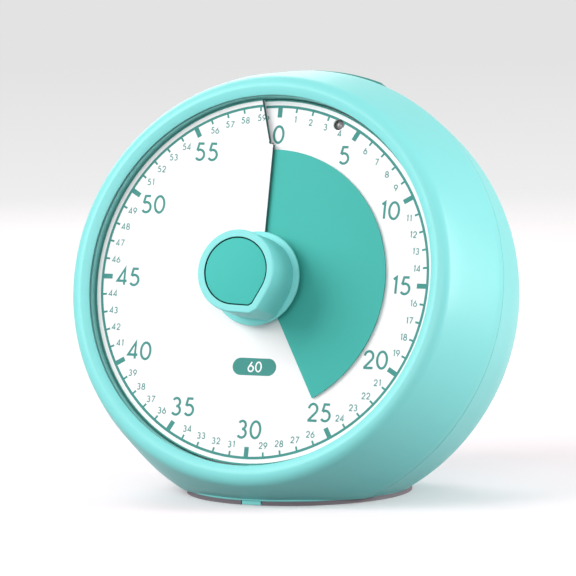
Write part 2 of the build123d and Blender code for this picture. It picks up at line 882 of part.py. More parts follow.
with BuildPart() as disc_hub:
    disc_between(hub_radius, hub_low_level, hub_low_level + hub_length)
    with BuildSketch(dial_plane.offset(hub_low_level)):
        shaft_section(shaft_radius + running_clearance, shaft_flat + running_clearance)
    extrude(amount=hub_length, mode=Mode.SUBTRACT)
save(disc_hub, "disc_hub")

front_plate_back = plate_back - movement_front_thickness
bushing_flange = 1.2
with BuildPart() as bushing:
    disc_between(bushing_radius, front_plate_back, plate_level + nut_height)
    disc_between(bushing_radius + 2, front_plate_back - bushing_flange, front_plate_back)
    disc_between(shaft_radius + running_clearance, front_plate_back - bushing_flange,
                 plate_level + nut_height, mode=Mode.SUBTRACT)
save(bushing, "shaft_bushing")

with BuildPart() as bushing_nut:
    with BuildSketch(dial_plane.offset(plate_level)):
        RegularPolygon(nut_across_flats / 2, 6, major_radius=False)
        Circle(bushing_radius, mode=Mode.SUBTRACT)
    extrude(amount=nut_height - 0.1)
save(bushing_nut, "bushing_nut")

# ------------------------------------------------------------------ movement

with BuildPart() as movement_front:
    block_between(movement_width, movement_width, movement_split_level, plate_back, corner=movement_corner)
    block_between(inside_width, inside_width, movement_split_level, front_plate_back,
                  corner=movement_corner - movement_wall, mode=Mode.SUBTRACT)
    for corner in movement_corners:
        disc_between(movement_boss_radius, movement_split_level, front_plate_back, corner)
        disc_between(small_screw_radius + screw_play, movement_split_level, plate_back, corner,
                     mode=Mode.SUBTRACT)
    disc_between(bushing_radius + running_clearance, front_plate_back, plate_back, mode=Mode.SUBTRACT)

with movement_front:
    for arbor in arbors:
        disc_between(staff_radius + 1.2, front_plate_back - 0.8, front_plate_back, arbor)
        disc_between(staff_radius + running_clearance, front_plate_back - 0.8, plate_back - 0.6, arbor,
                     mode=Mode.SUBTRACT)
    # two posts that carry the stator
    for y in (coil_low - 4, coil_low + coil_length + 2.5):
        disc_between(1.4, stator_level + stator_thickness, front_plate_back, (coil_x, y))
save(movement_front, "movement_front")

back_wall_inside = movement_back_level + movement_wall
with BuildPart() as movement_back:
    block_between(movement_width, movement_width, movement_back_level, movement_split_level,
                  corner=movement_corner)
    block_between(inside_width, inside_width, back_wall_inside, movement_split_level,
                  corner=movement_corner - movement_wall, mode=Mode.SUBTRACT)
    for corner in movement_corners:
        disc_between(movement_boss_radius, back_wall_inside, movement_split_level, corner)
        disc_between(small_screw_radius + screw_play, movement_back_level, movement_split_level, corner,
                     mode=Mode.SUBTRACT)
    for arbor in arbors:
        disc_between(staff_radius + running_clearance, movement_back_level + 0.4, back_wall_inside, arbor,
                     mode=Mode.SUBTRACT)
    disc_between(pivot_radius + running_clearance, movement_back_level + 0.4, back_wall_inside,
                 mode=Mode.SUBTRACT)
save(movement_back, "movement_back")

with BuildPart() as movement_screws:
    for corner in movement_corners:
        disc_between(small_screw_radius, movement_back_level, plate_back + 1.0, corner)
        disc_between(small_screw_head, movement_back_level - small_screw_head_height, movement_back_level,
                     corner)
save(movement_screws, "movement_screws")


def gear(teeth, module, low, high, centre, tooth_heading):
    """Spur gear with straight-flanked teeth; one tooth points along tooth_heading."""
    pitch_radius = teeth * module / 2
    tip = pitch_radius + 0.85 * module
    root = pitch_radius - 1.1 * module
    # half widths of a tooth at the root, the pitch circle and the tip
    widths = [(root, 0.92 * module), (pitch_radius, 0.68 * module), (tip, 0.36 * module)]
    points = []
    for tooth in range(teeth):
        heading = radians(tooth_heading + 360 / teeth * tooth)
        flank = [(radius, -half / radius) for radius, half in widths]
        flank += [(radius, half / radius) for radius, half in reversed(widths)]
        for radius, turn in flank:
            points.append((radius * cos(heading + turn), radius * sin(heading + turn)))
    gear_plane = Plane(
        origin=dial_plane.from_local_coords(Vector(centre[0], centre[1], low)),
        x_dir=(1, 0, 0),
        z_dir=dial_out,
    )
    with BuildSketch(gear_plane) as outline:
        with BuildLine():
            Polyline(*points, close=True)
        make_face()
    extrude(outline.sketch, amount=high - low)


staff_front = plate_back - 0.9
staff_back = movement_back_level + 0.7
with BuildPart() as main_wheel:
    gear(main_teeth, main_module, main_level, main_level + wheel_thickness, (0, 0), second_heading)
    disc_between(pivot_radius + running_clearance, main_level, main_level + wheel_thickness,
                 mode=Mode.SUBTRACT)
save(main_wheel, "main_wheel")

with BuildPart() as second_wheel:
    gear(pinion_teeth, main_module, pinion_low, main_level + wheel_thickness + 0.3, second_arbor,
         second_heading + 180 + 180 / pinion_teeth)
    gear(train_teeth, train_module, second_level, second_level + wheel_thickness, second_arbor, third_heading)
    disc_between(staff_radius, staff_back, staff_front, second_arbor)
save(second_wheel, "second_wheel")

with BuildPart() as third_wheel:
    gear(pinion_teeth, train_module, second_level - 0.3, second_level + wheel_thickness + 0.3, third_arbor,
         third_heading + 180 + 180 / pinion_teeth)
    gear(train_teeth, train_module, third_level, third_level + wheel_thickness, third_arbor, rotor_heading)
    disc_between(staff_radius, staff_back, staff_front, third_arbor)
save(third_wheel, "third_wheel")

with BuildPart() as rotor:
    gear(pinion_teeth, train_module, third_level - 0.3, third_level + wheel_thickness + 0.3, rotor_arbor,
         rotor_heading + 180 + 180 / pinion_teeth)
    disc_between(magnet_radius, magnet_level, magnet_level + magnet_height, rotor_arbor)
    disc_between(staff_radius, staff_back, staff_front, rotor_arbor)
save(rotor, "rotor")

with BuildPart() as stator:
    with BuildSketch(dial_plane.offset(stator_level)):
        with Locations(rotor_arbor):
            Circle(magnet_radius + magnet_gap + stator_width)
        with Locations(((rotor_arbor[0] + coil_x) / 2, rotor_arbor[1])):
            Rectangle(coil_x - rotor_arbor[0], 2 * core_width)
        with Locations((coil_x, (rotor_arbor[1] - core_width + coil_low + coil_length + 4.5) / 2)):
            Rectangle(core_width, coil_low + coil_length + 4.5 - rotor_arbor[1] + core_width)
        with Locations(rotor_arbor):
            Circle(magnet_radius + magnet_gap, mode=Mode.SUBTRACT)
    extrude(amount=stator_thickness)
save(stator, "stator")

with BuildPart() as motor_coil:
    coil_plane = Plane(
        origin=dial_plane.from_local_coords(Vector(coil_x, coil_low, stator_level + stator_thickness / 2)),
        x_dir=(1, 0, 0), z_dir=dial_up,
    )
    with BuildSketch(coil_plane):
        Circle(coil_radius)
        Rectangle(core_width + 0.1, stator_thickness + 0.1, mode=Mode.SUBTRACT)
    extrude(amount=coil_length)
save(motor_coil, "motor_coil")

cam_level = front_plate_back - bushing_flange - cam_drop
with BuildPart() as alarm_cam:
    with BuildSketch(dial_plane.offset(cam_level)):
        Circle(cam_radius)
        with Locations((0, cam_radius)):
            Rectangle(cam_notch, 1.2 * cam_notch, mode=Mode.SUBTRACT)
        Circle(shaft_radius + glue_gap, mode=Mode.SUBTRACT)
    extrude(amount=cam_thickness)
save(alarm_cam, "alarm_cam")

with BuildPart() as alarm_contact:
    leaf_height = cam_radius + leaf_gap + leaf_thickness / 2
    block_between(leaf_length, leaf_thickness, cam_level, cam_level + cam_thickness,
                  (leaf_offset, leaf_height))
    block_between(leaf_foot_length, leaf_foot_width, cam_level, front_plate_back,
                  (leaf_offset - leaf_length / 2 - 1.0, leaf_height))
save(alarm_contact, "alarm_contact")

with BuildPart() as clutch_spring:
    with BuildSketch(section_plane):
        with BuildLine():
            Polyline(
                (pivot_radius, shaft_step_level), (pivot_radius + 0.4, shaft_step_level),
                (5.2, main_level + wheel_thickness + 0.7), (5.2, main_level + wheel_thickness + 0.35),
                (4.8, main_level + wheel_thickness + 0.35), (pivot_radius, shaft_step_level - 0.35),
                close=True,
            )
        make_face()
    revolve(axis=dial_axis)
save(clutch_spring, "clutch_spring")

with BuildPart() as shaft_clip:
    clip_level = main_level - 0.35 - clip_thickness
    disc_between(clip_radius, clip_level, clip_level + clip_thickness, bore=pivot_radius)
    block_between(clip_slot, clip_radius, clip_level, clip_level + clip_thickness,
                  (0, pivot_radius / 2 + clip_radius / 2), mode=Mode.SUBTRACT)
save(shaft_clip, "shaft_clip")

# ------------------------------------------------------------------ boards, switch and speaker

board_front = board_level + board_thickness
board_corners = [
    (x * (board_width / 2 - board_post_inset), switch_height + y * (board_height / 2 - board_post_inset))
    for x in (-1, 1) for y in (-1, 1)
]
with BuildPart() as main_board:
    block_between(board_width, board_height, board_level, board_front, (0, switch_height),
                  corner=board_corner)
    for corner in board_corners:
        disc_between(small_screw_radius + screw_play, board_level, board_front, corner, mode=Mode.SUBTRACT)
save(main_board, "main_board")

with BuildPart() as board_chips:
    block_between(large_chip[0], large_chip[1], board_front, board_front + large_chip[2],
                  (-chip_offset, switch_height))
    block_between(small_chip[0], small_chip[1], board_front, board_front + small_chip[2],
                  (chip_offset, switch_height + small_chip_rise))
    disc_between(capacitor_radius, board_front, board_front + capacitor_height,
                 (capacitor_place[0], switch_height + capacitor_place[1]))
save(board_chips, "board_chips")

with BuildPart() as board_screws:
    for corner in board_corners:
        disc_between(small_screw_radius, back_inside + 1.4, board_front, corner)
        disc_between(small_screw_head, board_front, board_front + small_screw_head_height, corner)
save(board_screws, "board_screws")

switch_back = back_inside + switch_gap
neck_length, neck_width = slider_neck
with BuildPart() as volume_switch:
    block_between(switch_length, switch_width, switch_back, board_level, (switch_travel / 2, switch_height))
    block_between(switch_travel + neck_length + 2 * slider_gap, neck_width + 2 * slider_gap,
                  switch_back, switch_back + 1.2, (switch_travel / 2, switch_height), mode=Mode.SUBTRACT)
save(volume_switch, "volume_switch")

with BuildPart() as volume_slider:
    block_between(neck_length, neck_width, back_inside + 0.1, switch_back + 0.8, (0, switch_height))
    block_between(slider_length, slider_width, back_level - slider_proud, back_inside + 0.1,
                  (0, switch_height))
    for groove in (-1, 0, 1):
        block_between(slider_groove, slider_width, back_level - slider_proud,
                      back_level - slider_proud + slider_groove,
                      (slider_groove_pitch * groove, switch_height), mode=Mode.SUBTRACT)
save(volume_slider, "volume_slider")

speaker_back = back_inside + gasket_thickness
with BuildPart() as speaker:
    disc_between(speaker_radius, speaker_back, speaker_back + speaker_rim, (0, speaker_height))
    disc_between(0.6 * speaker_radius, speaker_back, speaker_back + speaker_depth, (0, speaker_height))
save(speaker, "speaker")

with BuildPart() as speaker_gasket:
    disc_between(speaker_radius, back_inside, speaker_back, (0, speaker_height),
                 bore=speaker_radius - gasket_width)
save(speaker_gasket, "speaker_gasket")

# ------------------------------------------------------------------ press bar on top


def dome_layer(grow, outer_inset, inner_inset):
    """Curved slab between two depths under the case's outside, within the bar's outline."""
    with BuildPart() as layer:
        add(body_of_revolution(outer_inset, plain_front))
        add(body_of_revolution(inner_inset, plain_front), mode=Mode.SUBTRACT)
        add(bar_prism(grow, bar_board_height, shoulder_radius + 5), mode=Mode.INTERSECT)
    return layer.part


flange_top = wall + 0.3
bar_floor = flange_top + bar_flange
stem_low = post_low + tact_height + plunger_height + bar_travel + plunger_gap
with BuildPart() as bar_hollow:
    add(body_of_revolution(bar_skin - bar_proud, plain_front))
    add(bar_prism(-bar_rim, bar_board_height, shoulder_radius + 5), mode=Mode.INTERSECT)
with BuildPart() as bar_stem:
    with BuildSketch(top_plane.offset(stem_low)):
        with Locations(bar_middle):
            Circle(bar_stem_radius)
    extrude(amount=shoulder_radius - stem_low)
    add(body_of_revolution(0, plain_front), mode=Mode.INTERSECT)

with BuildPart() as press_bar:
    add(dome_layer(0, -bar_proud, bar_floor))
    add(dome_layer(bar_flange_width, flange_top, bar_floor))
    add(bar_hollow.part, mode=Mode.SUBTRACT)
    add(bar_stem.part)
save(press_bar, "press_bar")

with BuildPart() as bar_board:
    with BuildSketch(top_plane.offset(bar_board_height)):
        with Locations(bar_middle):
            RectangleRounded(2 * (bar_post_offset + bar_board_end), bar_board_depth, board_corner)
            with Locations((-bar_post_offset, 0), (bar_post_offset, 0)):
                Circle(small_screw_radius + screw_play, mode=Mode.SUBTRACT)
    extrude(amount=board_thickness)
save(bar_board, "bar_board")

with BuildPart() as bar_screws:
    with BuildSketch(top_plane.offset(bar_board_height)):
        with Locations(bar_middle):
            with Locations((-bar_post_offset, 0), (bar_post_offset, 0)):
                Circle(small_screw_radius)
    extrude(amount=board_thickness + wall)
    with BuildSketch(top_plane.offset(bar_board_height)):
        with Locations(bar_middle):
            with Locations((-bar_post_offset, 0), (bar_post_offset, 0)):
                Circle(small_screw_head)
    extrude(amount=-small_screw_head_height)
save(bar_screws, "bar_screws")

with BuildPart() as tact_switch:
    with BuildSketch(top_plane.offset(bar_board_height + board_thickness)):
        with Locations(bar_middle):
            Rectangle(tact_size, tact_size)
    extrude(amount=tact_height)
    with BuildSketch(top_plane.offset(bar_board_height + board_thickness + tact_height)):
        with Locations(bar_middle):
            Circle(plunger_radius)
    extrude(amount=plunger_height)
save(tact_switch, "tact_switch")

# ------------------------------------------------------------------ base, battery bay and foot pad


def slab(low, high, mode=Mode.ADD):
    """Extrude the sketch drawn at low up to high."""
    extrude(amount=high - low, mode=mode)


hinge_y = door_width / 2 - door_thickness / 2
hinge_height = door_low + door_thickness / 2
base_seat = foot_thickness + foot_gap + base_screw_head_height
tongue_high = tongue_low + tongue_thickness
ear_x = hinge_length / 2 + door_gap + hinge_pin_length / 2

with BuildPart() as base_plate:
    with BuildSketch(Plane.XY.offset(foot_thickness)):
        Circle(foot_radius - wall - foot_gap)
    slab(foot_thickness, base_plate_high)
    with BuildSketch(Plane.XY.offset(foot_thickness)):
        RectangleRounded(door_length + 2 * door_gap, door_width + 2 * door_gap, door_corner + door_gap)
    slab(foot_thickness, recess_high, mode=Mode.SUBTRACT)
    with BuildSketch(Plane.XY.offset(recess_high)):
        Rectangle(box_inside_length, box_inside_width)
    slab(recess_high, base_plate_high, mode=Mode.SUBTRACT)
    with BuildSketch(Plane.XY.offset(foot_thickness)):
        for angle in base_screw_angles:
            with Locations(on_foot(base_screw_circle, angle)):
                Circle(base_screw_radius + screw_play)
    slab(foot_thickness, base_plate_high, mode=Mode.SUBTRACT)
    with BuildSketch(Plane.XY.offset(foot_thickness)):
        for angle in base_screw_angles:
            with Locations(on_foot(base_screw_circle, angle)):
                Circle(base_screw_head + screw_play)
    slab(foot_thickness, base_seat, mode=Mode.SUBTRACT)
    with BuildSketch(Plane.XY.offset(foot_thickness)):
        with Locations((0, -foot_radius / 2 - door_width / 4)):
            Rectangle(tongue_width + 2 * door_gap, foot_radius)
    slab(foot_thickness, foot_thickness + tongue_room, mode=Mode.SUBTRACT)
    # ears of the battery door's hinge
    for side in (-1, 1):
        with BuildSketch(Plane.XY.offset(door_low - 0.1)):
            with Locations((side * ear_x, hinge_y)):
                Rectangle(hinge_pin_length, hinge_ear)
        slab(door_low - 0.1, recess_high + 0.2)
    with BuildSketch(Plane.YZ.offset(-ear_x - hinge_pin_length)):
        with Locations((hinge_y, hinge_height)):
            Circle(hinge_pin_radius + running_clearance)
    slab(-ear_x - hinge_pin_length, ear_x + hinge_pin_length, mode=Mode.SUBTRACT)
save(base_plate, "base_plate")

with BuildPart() as base_screws:
    for angle in base_screw_angles:
        with BuildSketch(Plane.XY.offset(base_seat)):
            with Locations(on_foot(base_screw_circle, angle)):
                Circle(base_screw_radius)
        slab(base_seat, base_seat + base_screw_length - base_screw_head_height)
        with BuildSketch(Plane.XY.offset(foot_thickness + foot_gap)):
            with Locations(on_foot(base_screw_circle, angle)):
                Circle(base_screw_head)
        slab(foot_thickness + foot_gap, base_seat)
save(base_screws, "base_screws")

with BuildPart() as battery_door:
    with BuildSketch(Plane.XY.offset(door_low)):
        RectangleRounded(door_length, door_width, door_corner)
        with Locations((0, hinge_y + door_corner)):
            Rectangle(2 * door_length, 2 * door_corner, mode=Mode.SUBTRACT)
        for side in (-1, 1):
            ear_edge = hinge_y + door_corner - hinge_ear + 0.4
            with Locations((side * (hinge_length + door_length) / 2, ear_edge)):
                Rectangle(door_length, 2 * door_corner, mode=Mode.SUBTRACT)
        # slots that let the tongue spring
        for side in (-1, 1):
            with Locations((side * (tongue_width + slot_width) / 2, -door_width / 2)):
                Rectangle(slot_width, 2 * slot_length, mode=Mode.SUBTRACT)
    slab(door_low, door_low + door_thickness)
    with BuildSketch(Plane.XY.offset(tongue_low)):
        with Locations((0, -foot_radius / 2 - door_width / 4)):
            Rectangle(tongue_width, foot_radius - door_width / 2 + 2.0)
        Circle(foot_radius - foot_gap, mode=Mode.INTERSECT)
    slab(tongue_low, tongue_high)
    with BuildSketch(Plane.YZ.offset(-hinge_length / 2)):
        with Locations((hinge_y, hinge_height)):
            Circle(door_thickness / 2)
    slab(-hinge_length / 2, hinge_length / 2)
    pin_reach = hinge_length / 2 + door_gap + hinge_pin_length
    with BuildSketch(Plane.YZ.offset(-pin_reach)):
        with Locations((hinge_y, hinge_height)):
            Circle(hinge_pin_radius)
    slab(-pin_reach, pin_reach)
save(battery_door, "battery_door")

with BuildPart() as battery_box:
    box_top = cell_height + cell_radius + cell_room
    with BuildSketch(Plane.XY.offset(base_plate_high)):
        Rectangle(box_inside_length + 2 * box_wall, box_inside_width + 2 * box_wall)
    slab(base_plate_high, box_top + box_wall)
    with BuildSketch(Plane.XY.offset(base_plate_high)):
        Rectangle(box_inside_length, box_inside_width)
    slab(base_plate_high, box_top, mode=Mode.SUBTRACT)
save(battery_box, "battery_box")

cell_rows = [(-1, -cell_spacing / 2), (1, cell_spacing / 2)]
box_half = box_inside_length / 2
with BuildPart() as battery_cells:
    for facing, y in cell_rows:
        nub_end = facing * (box_half - contact_thickness)
        with BuildSketch(Plane.YZ.offset(nub_end)):
            with Locations((y, cell_height)):
                Circle(nub_radius)
        extrude(amount=-facing * nub_length)
        with BuildSketch(Plane.YZ.offset(nub_end - facing * nub_length)):
            with Locations((y, cell_height)):
                Circle(cell_radius)
        extrude(amount=-facing * (cell_length - nub_length))
save(battery_cells, "battery_cells")

with BuildPart() as contact_plates:
    for side in (-1, 1):
        for y in (-cell_spacing / 2, cell_spacing / 2):
            with BuildSketch(Plane.YZ.offset(side * box_half)):
                with Locations((y, cell_height)):
                    Rectangle(contact_width, contact_width)
            extrude(amount=-side * contact_thickness)
save(contact_plates, "contact_plates")

coil_height = spring_room - 2 * spring_wire
with BuildPart() as contact_spring:
    with BuildLine() as coil:
        Helix(coil_height / spring_turns, coil_height, spring_radius)
    with BuildSketch(Plane(origin=coil.line @ 0, z_dir=coil.line % 0)):
        RegularPolygon(spring_wire, 8)
    sweep(path=coil.line, is_frenet=True)
with BuildPart() as contact_springs:
    for facing, y in cell_rows:
        seat = Plane(
            origin=(-facing * (box_half - contact_thickness - spring_wire), y, cell_height),
            z_dir=(facing, 0, 0), x_dir=(0, 1, 0),
        )
        add(contact_spring.part.moved(seat.location))
save(contact_springs, "contact_springs")

with BuildPart() as foot_pad:
    with BuildSketch():
        Circle(foot_radius - foot_gap)
        with Locations((0, window_shift)):
            RectangleRounded(
                door_length + 4 * door_gap,
                door_width + 2 * door_gap + 2 * window_shift,
                door_corner,
                mode=Mode.SUBTRACT,
            )
        with Locations((0, -foot_radius)):
            Rectangle(tongue_width + 2 * door_gap, 2 * foot_radius - door_width, mode=Mode.SUBTRACT)
    extrude(amount=foot_thickness)
save(foot_pad, "foot_pad")
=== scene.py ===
"""Looks of the visual countdown timer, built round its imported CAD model.

Lengths are millimetres in the dial's own frame: x to the right of someone facing the dial, y up the dial, and
level along the dial's axis towards the user.  place() turns them into the row frame's metres.
"""
import math

import bmesh
import bpy
from mathutils import Matrix, Vector
from mathutils.geometry import delaunay_2d_cdt


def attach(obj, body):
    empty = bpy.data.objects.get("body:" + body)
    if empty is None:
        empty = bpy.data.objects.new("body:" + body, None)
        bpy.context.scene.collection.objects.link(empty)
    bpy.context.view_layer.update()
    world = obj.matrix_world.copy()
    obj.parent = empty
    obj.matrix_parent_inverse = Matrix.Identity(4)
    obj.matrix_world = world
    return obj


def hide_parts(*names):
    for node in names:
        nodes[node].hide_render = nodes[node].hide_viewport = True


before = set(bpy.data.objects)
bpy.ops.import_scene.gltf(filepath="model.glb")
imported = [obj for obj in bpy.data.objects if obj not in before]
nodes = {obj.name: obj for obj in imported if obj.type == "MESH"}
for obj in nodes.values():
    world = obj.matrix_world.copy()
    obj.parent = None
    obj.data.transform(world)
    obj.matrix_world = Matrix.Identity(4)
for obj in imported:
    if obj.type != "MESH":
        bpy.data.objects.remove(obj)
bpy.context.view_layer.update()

MM = 0.001                      # metres in a millimetre

# ------------------------------------------------------------------ sizes of the case, in mm and degrees

TILT = math.radians(15.0)
DIAL_HEIGHT = 61.8              # of the dial's centre over the table
DIAL_SETBACK = 21.4             # of the dial's centre in front of the foot's

# outline as (radius, level) about the dial's axis, from the lip round to the back
LIP = (52.55, 4.6)
LIP_ROUND = 0.2
LIP_UNDERSIDE = 4.3
FACE = (54.7, 5.6)
FACE_ROUND = 4.0
FLANK = (60.0, -1.4)
SHOULDER = (64.28, -18.6)
SHOULDER_ROUND = 9.0
SHOULDER_FALL = (0.6, 6.0)      # inwards and backwards from the seam, the way the shoulder runs out
DOME_CENTRE = (14.35, -25.3)
DOME_RADIUS = 48.9
BACK_LEVEL = -64.0
BACK_ROUND = 7.0
WALL = 2.4
SEAM_LEVEL = -20.6
SEAM_GROOVE = 0.3
POINT_GAP = 0.05                # least distance of a point of the outline from a groove
AXIS_BORE = 0.01                # left open at the axis, so that every revolved face has four corners

# inner ring, and the front housing's inside round it
RING_FOOT = -4.0
RING_TOP = 3.1
RING_BORE = (52.3, 52.5)        # radius at its foot and at its top
RING_OUTSIDE = 54.5
RING_ROUND = 0.12
RING_GAP = 0.1
HOUSING_INSIDE = [(61.6, -17.0), (57.6, -5.6), (57.3, RING_FOOT)]

# foot
FOOT_RADIUS = 32.3
FOOT_THICKNESS = 1.2
FOOT_TRIM = 0.02                # between the pad and the case's cut edge
FOOT_CHAMFER = 0.15
FOOT_STEPS = 240
FOOT_LAP = 1.0                  # how far its wall reaches into the case's skin
FOOT_WALL_LEAST = 0.1
FOOT_WALL_MOST = 30.0
FOOT_HALVINGS = 30              # in the search for the height at which its wall meets the case

# openings of the rear cover
CUT_SPARE = 1.0                 # how far a cutter stands out of what it cuts
NOTCH_SPAN = (45.0, 72.0)       # y from which and to which the bar's notch is cut
CASE_SCREW_CIRCLE = 56.0
CASE_SCREW_ANGLES = (45, 135, 225, 315)
WELL_RADIUS = 3.0
WELL_FLOOR = -30.0
WELL_ROOT = -25.0               # level at which the outside of its wall ends
WELL_WALL = 0.6
WELL_GAP = 0.02                 # between its wall and the edge of the hole
WELL_RIM = (1.2, 1.0)           # depth under the dome's skin, outside and inside
WELL_BORE = 1.5                 # radius of the hole in its floor
GRILLE_SLOTS = 7
GRILLE_PITCH = 3.2
GRILLE_WIDTH = 1.5
GRILLE_RADIUS = 12.0
GRILLE_HEIGHT = 15.0
SLIDER_SLOT_AT = (2.5, -17.0)
SLIDER_SLOT_SIZE = (9.7, 3.7)

# press bar
BAR_HALF = 21.0
BAR_FRONT = -20.95
BAR_LENGTH = 21.0
BAR_CORNER = 3.0
BAR_FRONT_CORNER = 0.8
BAR_CORNER_LEAST = 0.1
BAR_PROUD = 0.85
BAR_GAP = 0.35
BAR_RUN_STEPS = (28, 14)        # along its front and rear edge, and along its sides
BAR_RIM = [(0.0, 3.6), (0.0, 0.5), (0.07, 0.3), (0.2, 0.12), (0.4, 0.02), (0.6, 0.0)]   # (inset, depth)
BAR_INSETS = (1.5, 2.6, 4.0, 5.5, 7.0, 8.5, 9.6, 10.49)

# ------------------------------------------------------------------ sizes of the dial, the disc and the lamp

SCREW_PITCH = 2.0               # climb of the sheet and the disc in one turn
SHEET_RADIUS = 52.0
SHEET_BORE = 8.0
SHEET_THICKNESS = 0.7
SHEET_BANDS = (SHEET_BORE, 20.0, 30.0, 40.0, 47.0, SHEET_RADIUS)
SHEET_STEPS = 144
SHEET_START = 1.25              # degrees from the zero mark to the first of these steps

SLIT_LEAN = 6.35
SLIT_OFFSET = -0.3              # x of the slit's radial stretch
SLIT_JOG = 1.1                  # to the left, where it starts to lean
SLIT_JOG_RISE = 0.2
SLIT_CORNER = 38.8
SLIT_OVERRUN = 4.0              # past the sheet's edge
SLIT_RELIEF = 0.3
SLIT_NEAR = 0.45                # distance up to which a corner of the sheet counts as on the slit
SLIT_BEVEL = 0.28               # of the high end's cut edge, towards its underside
SLIT_LAP = 13.75                # degrees the low end reaches on under the high end
HIGH_END = 0.9                  # share of the pitch above which a corner is on the high end

DISC_RADIUS = 37.55
DISC_THICKNESS = 0.4
DISC_EDGE = 0.06
DISC_SWEEP = 358.5
DISC_STEPS = 480
REST_SETTING = 150.0
HUB_RADIUS = 6.4

# print
MINUTE_RING = (49.62, 50.38)
MINUTE_RING_STEPS = 240
MINUTE_RING_START = 0.4
BORDER_RING = (51.55, SHEET_RADIUS)
TICK_END = 50.0
FIVE_TICK = (46.9, TICK_END, 1.4)       # inner and outer radius, width
MINUTE_TICK = (48.5, TICK_END, 0.56)
FIVE_RADIUS = 42.0
FIVE_LETTERS = (5.38, 0.7, 40)          # height, weight of the stroke, steps in its full round
MINUTE_RADIUS = 46.6
MINUTE_LETTERS = (1.95, 0.3, 16)
PILL_LETTERS = (3.1, 0.42, 32)
PILL_CENTRE = (0.0, -24.3)
PILL_SIZE = (13.4, 4.9)
SHIFTED_NUMBERS = {59: 0.3}             # degrees to the right, to clear the slit

LAMP_AT = (48.7, 22.2)          # radius and angle on the dial
LAMP_HOLE = 1.55
LAMP_RADIUS = 1.45
LAMP_BACK = -7.0
LENS_FOOT = -1.6
LENS_RISE = 1.2

# ------------------------------------------------------------------ sizes of the knob

KNOB_RADIUS = 11.6
KNOB_FOOT = 4.4
KNOB_FACE = 19.14
KNOB_RIM = 0.45                 # rounding of the face's edge
KNOB_STEPS = 160
NOSE_HALF = math.radians(57.5)
NOSE_CUT = 0.8                  # of the nose's point, cut off flat
NOSE_CORNER = 0.35
NOSE_CORNER_LEAST = 0.15
NOSE_CORNER_SHARE = 0.1         # of the inset, taken off that rounding
INLAY_OFFSET = 2.05
INLAY_GROOVE = 0.35
GROOVE_RIM = [(-0.1, 0.0), (-0.03, 0.03), (0.0, 0.1), (0.0, 1.2)]       # (inset, depth) from the knob's face
INLAY_RIM = [(0.0, 1.2), (0.0, 0.25), (0.04, 0.17), (0.12, 0.15)]
FLANGE_RADIUS = 13.35
FLANGE_LEVELS = (3.75, 5.9)
FLANGE_BORE = 4.0
FLANGE_UNDERCUT = 2.5           # its underside leans in by this much
FLANGE_EDGE = 0.55              # height of its upright edge
FLANGE_ROUNDS = (0.2, 0.1, 0.4)         # under it, and at the foot and top of that edge

DIAL_CENTRE = Vector((0, -DIAL_SETBACK, DIAL_HEIGHT))
DIAL_UP = Vector((0, math.sin(TILT), math.cos(TILT)))
DIAL_OUT = Vector((0, -math.cos(TILT), math.sin(TILT)))


def place(x, y, level):
    """Row-frame point, in metres, of a point given in the dial's frame in mm."""
    return (DIAL_CENTRE + Vector((x, 0, 0)) + y * DIAL_UP + level * DIAL_OUT) * MM


def at(radius, angle):
    """Point on the dial, its angle in degrees clockwise from the zero mark."""
    return radius * math.sin(math.radians(angle)), radius * math.cos(math.radians(angle))


# ------------------------------------------------------------------ materials

CLOUD_SCALE = 45.0              # of the mottling, in clouds to a metre
GLOSS_SPREAD = 0.05
ROUGHNESS_LEAST = 0.02
GRAIN_SIZE = 0.25
GRAIN_DEPTH = 0.02
COAT_ROUGHNESS = 0.25


def srgb(red, green, blue):
    """Linear colour of an sRGB colour given from 0 to 255."""
    shares = [c / 255 for c in (red, green, blue)]
    return tuple(c / 12.92 if c <= 0.04045 else ((c + 0.055) / 1.055) ** 2.4 for c in shares) + (1.0,)


